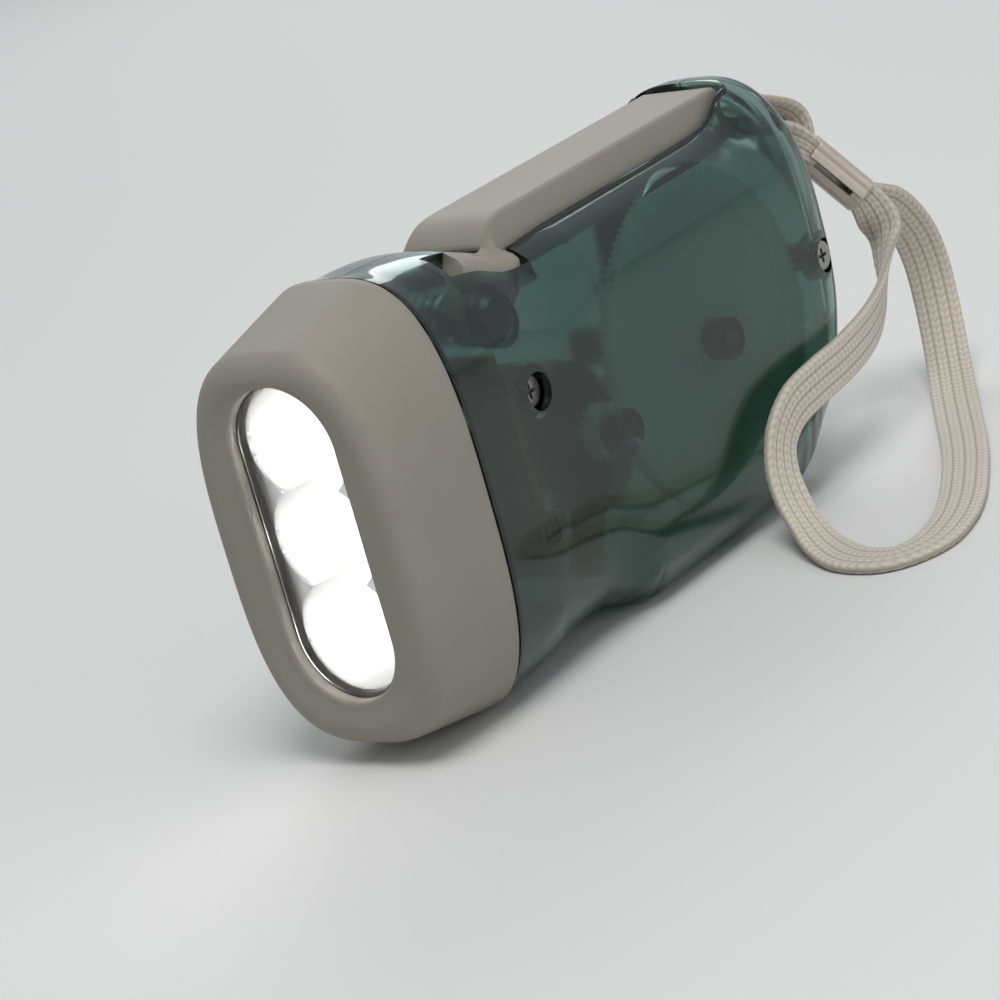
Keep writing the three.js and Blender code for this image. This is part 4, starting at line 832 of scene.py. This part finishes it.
def pocket_bar(x0, x1, half_width, half_height, middle):
    """A bar along X with a round-cornered rectangle for its section."""
    turn = np.linspace(0, 2 * np.pi, 48, endpoint=False)
    radius = half_width / 2
    y = np.sign(np.cos(turn)) * (half_width - radius) + radius * np.cos(turn)
    z = np.sign(np.sin(turn + 1e-9)) * (half_height - radius) + radius * np.sin(turn) + middle
    ring = np.stack([np.zeros(48), y, z], -1)
    return closed("pocket", np.stack([ring + [x0, 0, 0], ring + [x1, 0, 0]]))


# Where a face counts as outer skin, foot or tail, and how close to a bar it counts as boss
SKIN_LEVEL = 0.93
FOOT_DEPTH = 0.05
TAIL_SHARE = 0.985
BOSS_MARGIN = 0.06


def frost_inside(half, towers):
    """Gives the faces that aren't on the outer skin the frosted material, and those of the bosses
    the darker one, whose dark tint is painted shade for light absorbed in thick plastic: a face is outside
    where |y / w|^n + |z / h|^n is close to 1."""
    mesh = half.data
    x, y, z = (mesh_numbers(mesh.polygons, "center", 3) / METRE - FACE_PLACE).T
    half_width, top, bottom, power = skin_at(x)
    height = (z - (top - bottom) / 2) / ((top + bottom) / 2)
    level = np.abs(y / half_width) ** power + np.abs(height) ** power
    tail = x - JOINT > TAIL_SHARE * (BODY_LENGTH - JOINT)
    outside = (level > SKIN_LEVEL) | (z < FOOT_DEPTH - BASE_DEPTH) | tail
    x, y, z = (mesh_numbers(mesh.vertices, "co", 3) / METRE - FACE_PLACE).T
    carried = np.zeros(len(x), bool)
    for radius, start, _, middle_x, middle_z in towers:
        close = np.hypot(x - middle_x, z - middle_z) < radius + BOSS_MARGIN
        carried |= close & (np.abs(y) > start - BOSS_MARGIN)
    first = mesh_numbers(mesh.polygons, "loop_start", 1, int)[:, 0]
    corners = mesh_numbers(mesh.loops, "vertex_index", 1, int)[:, 0]
    boss = np.logical_and.reduceat(carried[corners], first)
    # Index 2 puts the painted dark tint of thick plastic on the boss faces
    finish = np.where(outside, 0, np.where(boss, 2, 1))
    mesh.polygons.foreach_set("material_index", finish.astype(np.int32))


casing_half("casing_half_near", -1, "shell_near")
casing_half("casing_half_far", 1, "shell_far")


# Head: sizes back from the front face, and radii of its rounded parts

RING_PLACES = 240
WINDOW_STRAIGHT = 1.2
WINDOW_RISE = 0.4
LIP_RADIUS = 0.55
FLARE_DEPTH = 0.55
LED_HEIGHTS = (-12.2, 0.0, 12.2)
LIT_DEPTH = 17.1
REFLECTOR_FRONT = 4.3
REFLECTOR_BACK = 20.0
CUP_RADIUS = 7.4
CUP_DEPTH = 13.0
CUP_HOLE = 2.8
LAMP_TIP = 14.5
LAMP_RADIUS = 2.5

# Barrel and base flange of a lamp: x and radius
LAMP_BARREL = [(17.2, 2.5), (22.9, 2.5), (23.0, 2.6), (23.0, 2.85), (23.1, 2.9), (23.9, 2.9), (24.0, 2.8)]


def slot_reach(direction, half_width, half_height):
    """Distance from the middle to a slot outline along unit directions in y and z."""
    y, z = np.abs(direction[..., 0]), np.abs(direction[..., 1])
    straight = half_height - half_width
    side = half_width / np.maximum(y, 1e-9)
    rest = (straight * z) ** 2 - straight ** 2 + half_width ** 2
    arc = straight * z + np.sqrt(np.maximum(rest, 0))
    return np.where(side * z <= straight, side, arc)


def lamp_ring():
    """Grey front ring. Its skin is one closed band: out of the window, over a rounded lip and a
    shallow flare, round the face's edge, back along the side and home along the inner wall."""
    edge = head_rings([0.0], FACE_EDGE, RING_PLACES)[0, :, 1:]
    direction = unit(edge)

    def face_ring(x, grow, share):
        """The window's outline grown, then moved a share of the way to the face's edge."""
        reach = slot_reach(direction, WINDOW_HALF_WIDTH + grow, WINDOW_HALF_HEIGHT + grow)
        start = direction * reach[:, None]
        return np.concatenate([np.full((RING_PLACES, 1), x), start + (edge - start) * share], -1)

    rings = [face_ring(FACE_WALL, 0, 0), face_ring(WINDOW_STRAIGHT, 0, 0)]
    for turn in np.linspace(0, np.pi / 2, 6):
        x = FLARE_DEPTH + LIP_RADIUS * (1 - np.sin(turn))
        rings.append(face_ring(x, LIP_RADIUS * (1 - np.cos(turn)), 0))
    for share in np.linspace(0.05, 1, 16)[:-1]:
        ease = share * share * (3 - 2 * share)
        rings.append(face_ring(FLARE_DEPTH * (1 - ease), LIP_RADIUS, share))
    for turn in np.linspace(0, np.pi / 2, 10):
        x = FACE_EDGE * (1 - np.cos(turn))
        rings.append(head_rings([x], FACE_EDGE * (1 - np.sin(turn)), RING_PLACES)[0])
    for x in np.linspace(FACE_EDGE, HEAD_DEPTH - 0.25, 18)[1:]:
        rings.append(head_rings([x], 0, RING_PLACES)[0])
    rings.append(head_rings([HEAD_DEPTH], 0.2, RING_PLACES)[0])
    for x in (HEAD_DEPTH, 12, 8, 4, FACE_WALL):
        rings.append(head_rings([x], BEZEL_WALL, RING_PLACES)[0])
    rings = np.stack(rings)
    rings[..., 2] = np.maximum(rings[..., 2], -BASE_DEPTH)
    faces = grid_faces(len(rings), RING_PLACES, close_rows=True, close_columns=True)
    ring = face_outwards(new_piece("lamp_ring", rings.reshape(-1, 3), faces, [grey_plastic]))
    smooth(ring, 50)
    placed(ring, "head_bezel", "casing")


def lamp_window():
    """Clear slot-shaped window with a flange behind the ring's lip and a raised middle. Each row
    gives a ring's x and how far it lies inside the flange or the raised outline."""
    front = FACE_WALL + GAP
    back = front + LENS_THICKNESS
    lip = LENS_LIP + GAP
    flange = [(back, 0.4), (back, 0.1), (back - 0.2, 0), (front + 0.1, 0), (front, 0.1)]
    middle = [(front, 0), (front - 0.25, 0), (front - 0.35, 0.06), (front - WINDOW_RISE, 0.3)]
    rows = flange + [(x, lip + inset) for x, inset in middle]
    rings = [slot_ring(x, LAMP_HALF_WIDTH - inset, LAMP_HALF_HEIGHT - inset) for x, inset in rows]
    window = closed("lamp_window", np.stack(rings), [clear_plastic])
    smooth(window, 35)
    placed(window, "lens", "casing")


def lamp_reflector():
    """Bright mould whose front is a height field: each cup is a paraboloid
    depth = 13 (1 - ((r - 2.8) / 4.6)^2) about its lamp, and the deepest cup counts."""
    y = np.linspace(-LAMP_HALF_WIDTH - 1, LAMP_HALF_WIDTH + 1, 121)
    z = np.linspace(-LAMP_HALF_HEIGHT - 1, LAMP_HALF_HEIGHT + 1, 261)
    grid_y, grid_z = np.meshgrid(y, z)
    depth = np.zeros_like(grid_y)
    for height in LED_HEIGHTS:
        radius = np.hypot(grid_y, grid_z - height)
        share = np.clip((radius - CUP_HOLE) / (CUP_RADIUS - CUP_HOLE), 0, 1)
        depth = np.maximum(depth, CUP_DEPTH * (1 - share ** 2))
    surface = np.stack([REFLECTOR_FRONT + depth, grid_y, grid_z], -1).reshape(-1, 3)
    rows, columns = len(z), len(y)
    faces = grid_faces(rows, columns)
    rim = np.concatenate([np.arange(columns), np.arange(1, rows) * columns + columns - 1,
                          (rows - 1) * columns + np.arange(columns - 2, -1, -1),
                          np.arange(rows - 2, 0, -1) * columns])
    back = surface[rim] * [0, 1, 1] + [REFLECTOR_BACK, 0, 0]
    first = len(surface)
    step = np.arange(len(rim))
    follow = (step + 1) % len(rim)
    faces += np.stack([rim, first + step, first + follow, rim[follow]], -1).tolist()
    faces.append((first + step[::-1]).tolist())
    body = face_outwards(new_piece("cups", np.concatenate([surface, back]), faces))
    outline = slot_bar(REFLECTOR_FRONT - 1, REFLECTOR_BACK + 1, LAMP_HALF_WIDTH, LAMP_HALF_HEIGHT)
    reflector = combined("lamp_reflector", body, [("INTERSECT", outline)], [chrome])
    smooth(reflector, 40)
    placed(reflector, "reflector", "casing")


def turned(name, profile, height, materials, sides=40):
    """A profile of (x, radius) pairs turned about an axis along X at one height."""
    turn = np.linspace(0, 2 * np.pi, sides, endpoint=False)
    x, radius = np.array(profile, float).T
    rings = np.stack([np.repeat(x[:, None], sides, 1), radius[:, None] * np.cos(turn),
                      height + radius[:, None] * np.sin(turn)], -1)
    return closed(name, rings, materials)


def lamp(number, height):
    """One lamp: a dome x = 14.5 + 2.5 (1 - cos t), r = 2.5 sin t, a plain barrel and a base flange.
    Only the dome in front of the reflector's floor is lit."""
    turn = np.radians([4, 15, 27, 40, 53, 66, 78, 90])
    profile = [(LAMP_TIP + LAMP_RADIUS * (1 - np.cos(t)), LAMP_RADIUS * np.sin(t)) for t in turn]
    piece = turned(f"lamp_{number}", profile + LAMP_BARREL, height, [lamp_resin, lamp_base])
    centres = mesh_numbers(piece.data.polygons, "center", 3)
    behind = centres[:, 0] / METRE - FACE_PLACE[0] > LIT_DEPTH
    piece.data.polygons.foreach_set("material_index", behind.astype(np.int32))
    smooth(piece, 40)
    placed(piece, f"led_{number}", "casing")


# Lever: grip and its hollow, then the ears' room and the peaks over them

GRIP_FOOT = 18.98
GRIP_COVER = 0.02
CHANNEL_WALL = 1.62
CHANNEL_ROOM = (41.32, 92.5, -8.0, 8.0, 15.0, 30.0)
CHANNEL_FOOT = 16.0
HINGE_ROOM = 9.85
EAR_INSIDE = 6.3
EAR_OUTSIDE = 9.6
EAR_ROOM = (27.2, 41.2)
EAR_FOOT = 19.3
PEAK_PLACE = 38.2
PEAK_ASIDE = 6.35
PEAK_TOP = 24.1
PEAK_FOOT = 20.6
PEAK_HEADWARD = 9.0
PEAK_TAILWARD = 2.9
PEAK_HALF_WIDTH = 4.4
PEAK_SAG = 0.25


def lever_rings(inset, low):
    """Sections of the squeeze lever moved inwards: a drafted channel with rounded top edges. Its
    top follows a bowed ramp, a (1 - t)^2 + 2 b t (1 - t) + c t^2 with toe a, bow b and shoulder
    c, then the flat and a quarter-round heel."""
    toe, bow, shoulder = np.array([[LEVER_TOE, LEVER_TOP - RAMP_RISE], [LEVER_TOE + RAMP_BOW, LEVER_TOP],
                                   [LEVER_TOE + RAMP_RUN, LEVER_TOP]])
    t = np.linspace(0, 1, 16)[:, None]
    ramp = (1 - t) ** 2 * toe + 2 * t * (1 - t) * bow + t ** 2 * shoulder
    turn = np.linspace(0, np.pi / 2, 10)
    heel = np.stack([LEVER_END - HEEL_RADIUS * (1 - np.sin(turn)),
                     LEVER_TOP - HEEL_RADIUS * (1 - np.cos(turn))], -1)
    x, top = np.concatenate([ramp, heel]).T
    top = top[:, None] - inset
    slope = np.clip((top - DRAFT_FOOT) / (LEVER_TOP - DRAFT_FOOT), 0, 1)
    half_top = LEVER_HALF_WIDTH - DRAFT * slope - inset
    half_foot = np.full_like(top, LEVER_HALF_WIDTH - inset)
    arc = np.linspace(0, np.pi / 2, 8)
    y = np.concatenate([half_foot, half_foot, half_top - TOP_EDGE_RADIUS * (1 - np.cos(arc)),
                        (half_top - TOP_EDGE_RADIUS) * np.linspace(0.8, 0, 5)], -1)
    z = np.concatenate([np.full_like(top, low), np.full_like(top, DRAFT_FOOT),
                        top - TOP_EDGE_RADIUS * (1 - np.sin(arc)), np.repeat(top, 5, 1)], -1)
    z = np.minimum(z, top)
    y = np.concatenate([y, -y[:, -2::-1]], -1)
    z = np.concatenate([z, z[:, -2::-1]], -1)
    return np.stack([np.repeat(x[:, None], y.shape[1], 1), y, z], -1)


def ear_peak(side):
    """Shoulder of a hinge ear: a slightly hollow cone from the foot of the ramp down to the
    casing's skin, with a long slope towards the head and a short one towards the tail."""
    turn = np.linspace(0, 2 * np.pi, 48, endpoint=False)
    reach = np.where(np.cos(turn) < 0, PEAK_HEADWARD, PEAK_TAILWARD) * np.cos(turn)
    foot = np.stack([PEAK_PLACE + reach, side * EAR_INSIDE + PEAK_HALF_WIDTH * np.sin(turn),
                     np.full_like(turn, PEAK_FOOT)], -1)
    peak = np.array([PEAK_PLACE, side * PEAK_ASIDE, PEAK_TOP])
    share = np.array([0.0, 0.35, 0.7, 0.93, 0.985])[:, None, None]
    rings = foot + (peak - foot) * share - np.array([0, 0, PEAK_SAG]) * (share - share ** 2)
    cone = closed("ear peak", rings)
    ear = block(*EAR_ROOM, *across_from(side, EAR_INSIDE, EAR_OUTSIDE), EAR_FOOT, LEVER_TOP + OVERRUN)
    return combined("ear peak", cone, [("INTERSECT", ear)])


def squeeze_lever():
    """The lever's moulding: a merged copy of the solid gives the ears, hinge bar and rack, and a
    smooth channel grip and two peaked shoulders close over it."""
    moulding = bmesh.new()
    moulding.from_mesh(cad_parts["lever"].data)
    bmesh.ops.remove_doubles(moulding, verts=moulding.verts, dist=0.000001)
    mesh = bpy.data.meshes.new("lever core")
    moulding.to_mesh(mesh)
    moulding.free()
    core = linked("lever core", mesh)
    grip = closed("grip", lever_rings(-GRIP_COVER, GRIP_FOOT))
    inside = closed("grip inside", lever_rings(CHANNEL_WALL, CHANNEL_FOOT))
    room = combined("room", inside, [("INTERSECT", block(*CHANNEL_ROOM))])
    hinge_room = bar_y(HINGE_ROOM, -EAR_INSIDE, EAR_INSIDE, *PIVOT)
    channel = combined("channel", grip, [("DIFFERENCE", room), ("DIFFERENCE", hinge_room)])
    peaks = [("UNION", ear_peak(side)) for side in (-1, 1)]
    lever = combined("squeeze_lever", channel, [("UNION", core)] + peaks, [grey_plastic])
    smooth(lever, 32)
    placed(lever, "lever", "lever")


squeeze_lever()
lamp_ring()
lamp_window()
lamp_reflector()
for number, height in enumerate(LED_HEIGHTS, 1):
    lamp(number, height)

# CAD pieces that stay, with their finishes
FINISHES = {
    "led_board": board_brown, "lever_spring": steel, "ratchet_pinion": gear_plastic,
    "big_gear": gear_plastic, "pawl_1": steel, "pawl_2": steel, "gear_shaft": steel, "rotor_shaft": steel,
    "rotor_pinion": gear_plastic, "rotor_magnet": magnet_black, "stator": iron, "coil_bobbin": gear_plastic,
    "coil_winding": copper, "lead_wire_1": lead_red, "lead_wire_2": lead_red,
    "body_screw_1": screw_steel_painted_dark, "body_screw_2": screw_steel_painted_dark,
}
for node, finish in FINISHES.items():
    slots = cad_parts[node].data.materials
    slots.clear()
    slots.append(finish)

# Stage

FLOOR_REACH = 1100
ROOM_COLOUR = (0.93, 0.96, 1.0, 1)
ROOM_LIGHT = 0.34
ROOM_SEEN = 0.62

# Studio lights: name, place, target, size in metres and power in watts
STUDIO_LIGHTS = (
    ("key", (-0.2, -0.25, 0.85), (0, 0, 0.03), 0.5, 4.6),
    ("fill", (0.1, -0.9, 0.35), (0, 0, 0.03), 0.7, 1.2),
    ("rim", (0.6, 0.5, 0.5), (0.03, 0, 0.03), 0.5, 1.6),
)


def pale_room():
    """World that lights softly and shows itself paler to the camera and in gloss and clear plastic."""
    world = bpy.data.worlds.new("room")
    world.use_nodes = True
    tree = world.node_tree
    background = tree.nodes["Background"]
    background.inputs["Color"].default_value = ROOM_COLOUR
    ray = tree.nodes.new("ShaderNodeLightPath")
    seen = ray.outputs["Is Camera Ray"]
    for kind in ("Is Glossy Ray", "Is Transmission Ray"):
        either = tree.nodes.new("ShaderNodeMath")
        either.operation = "MAXIMUM"
        tree.links.new(seen, either.inputs[0])
        tree.links.new(ray.outputs[kind], either.inputs[1])
        seen = either.outputs[0]
    strength = tree.nodes.new("ShaderNodeMapRange")
    strength.inputs["To Min"].default_value = ROOM_LIGHT
    strength.inputs["To Max"].default_value = ROOM_SEEN
    tree.links.new(seen, strength.inputs["Value"])
    tree.links.new(strength.outputs["Result"], background.inputs["Strength"])
    return world


def make_stage():
    """Pale floor, soft overhead key, broad fill and a rim light, in a pale even room."""
    floor_material = material("pale floor", (0.7, 0.7, 0.69), 0.7)
    corners = np.array([[-1, -1, 0], [1, -1, 0], [1, 1, 0], [-1, 1, 0]], float) * FLOOR_REACH
    floor = new_piece("floor", corners - FACE_PLACE, [[0, 1, 2, 3]], [floor_material])
    for name, place, target, size, power in STUDIO_LIGHTS:
        data = bpy.data.lights.new(name, "AREA")
        data.shape = "DISK"
        data.size = size
        data.energy = power
        light = linked(name, data)
        aim = (Vector(target) - Vector(place)).to_track_quat("-Z", "Y")
        light.matrix_world = Matrix.Translation(Vector(place)) @ aim.to_matrix().to_4x4()
    bpy.context.scene.world = pale_room()
    bpy.context.scene.view_settings.view_transform = "Standard"


make_stage()
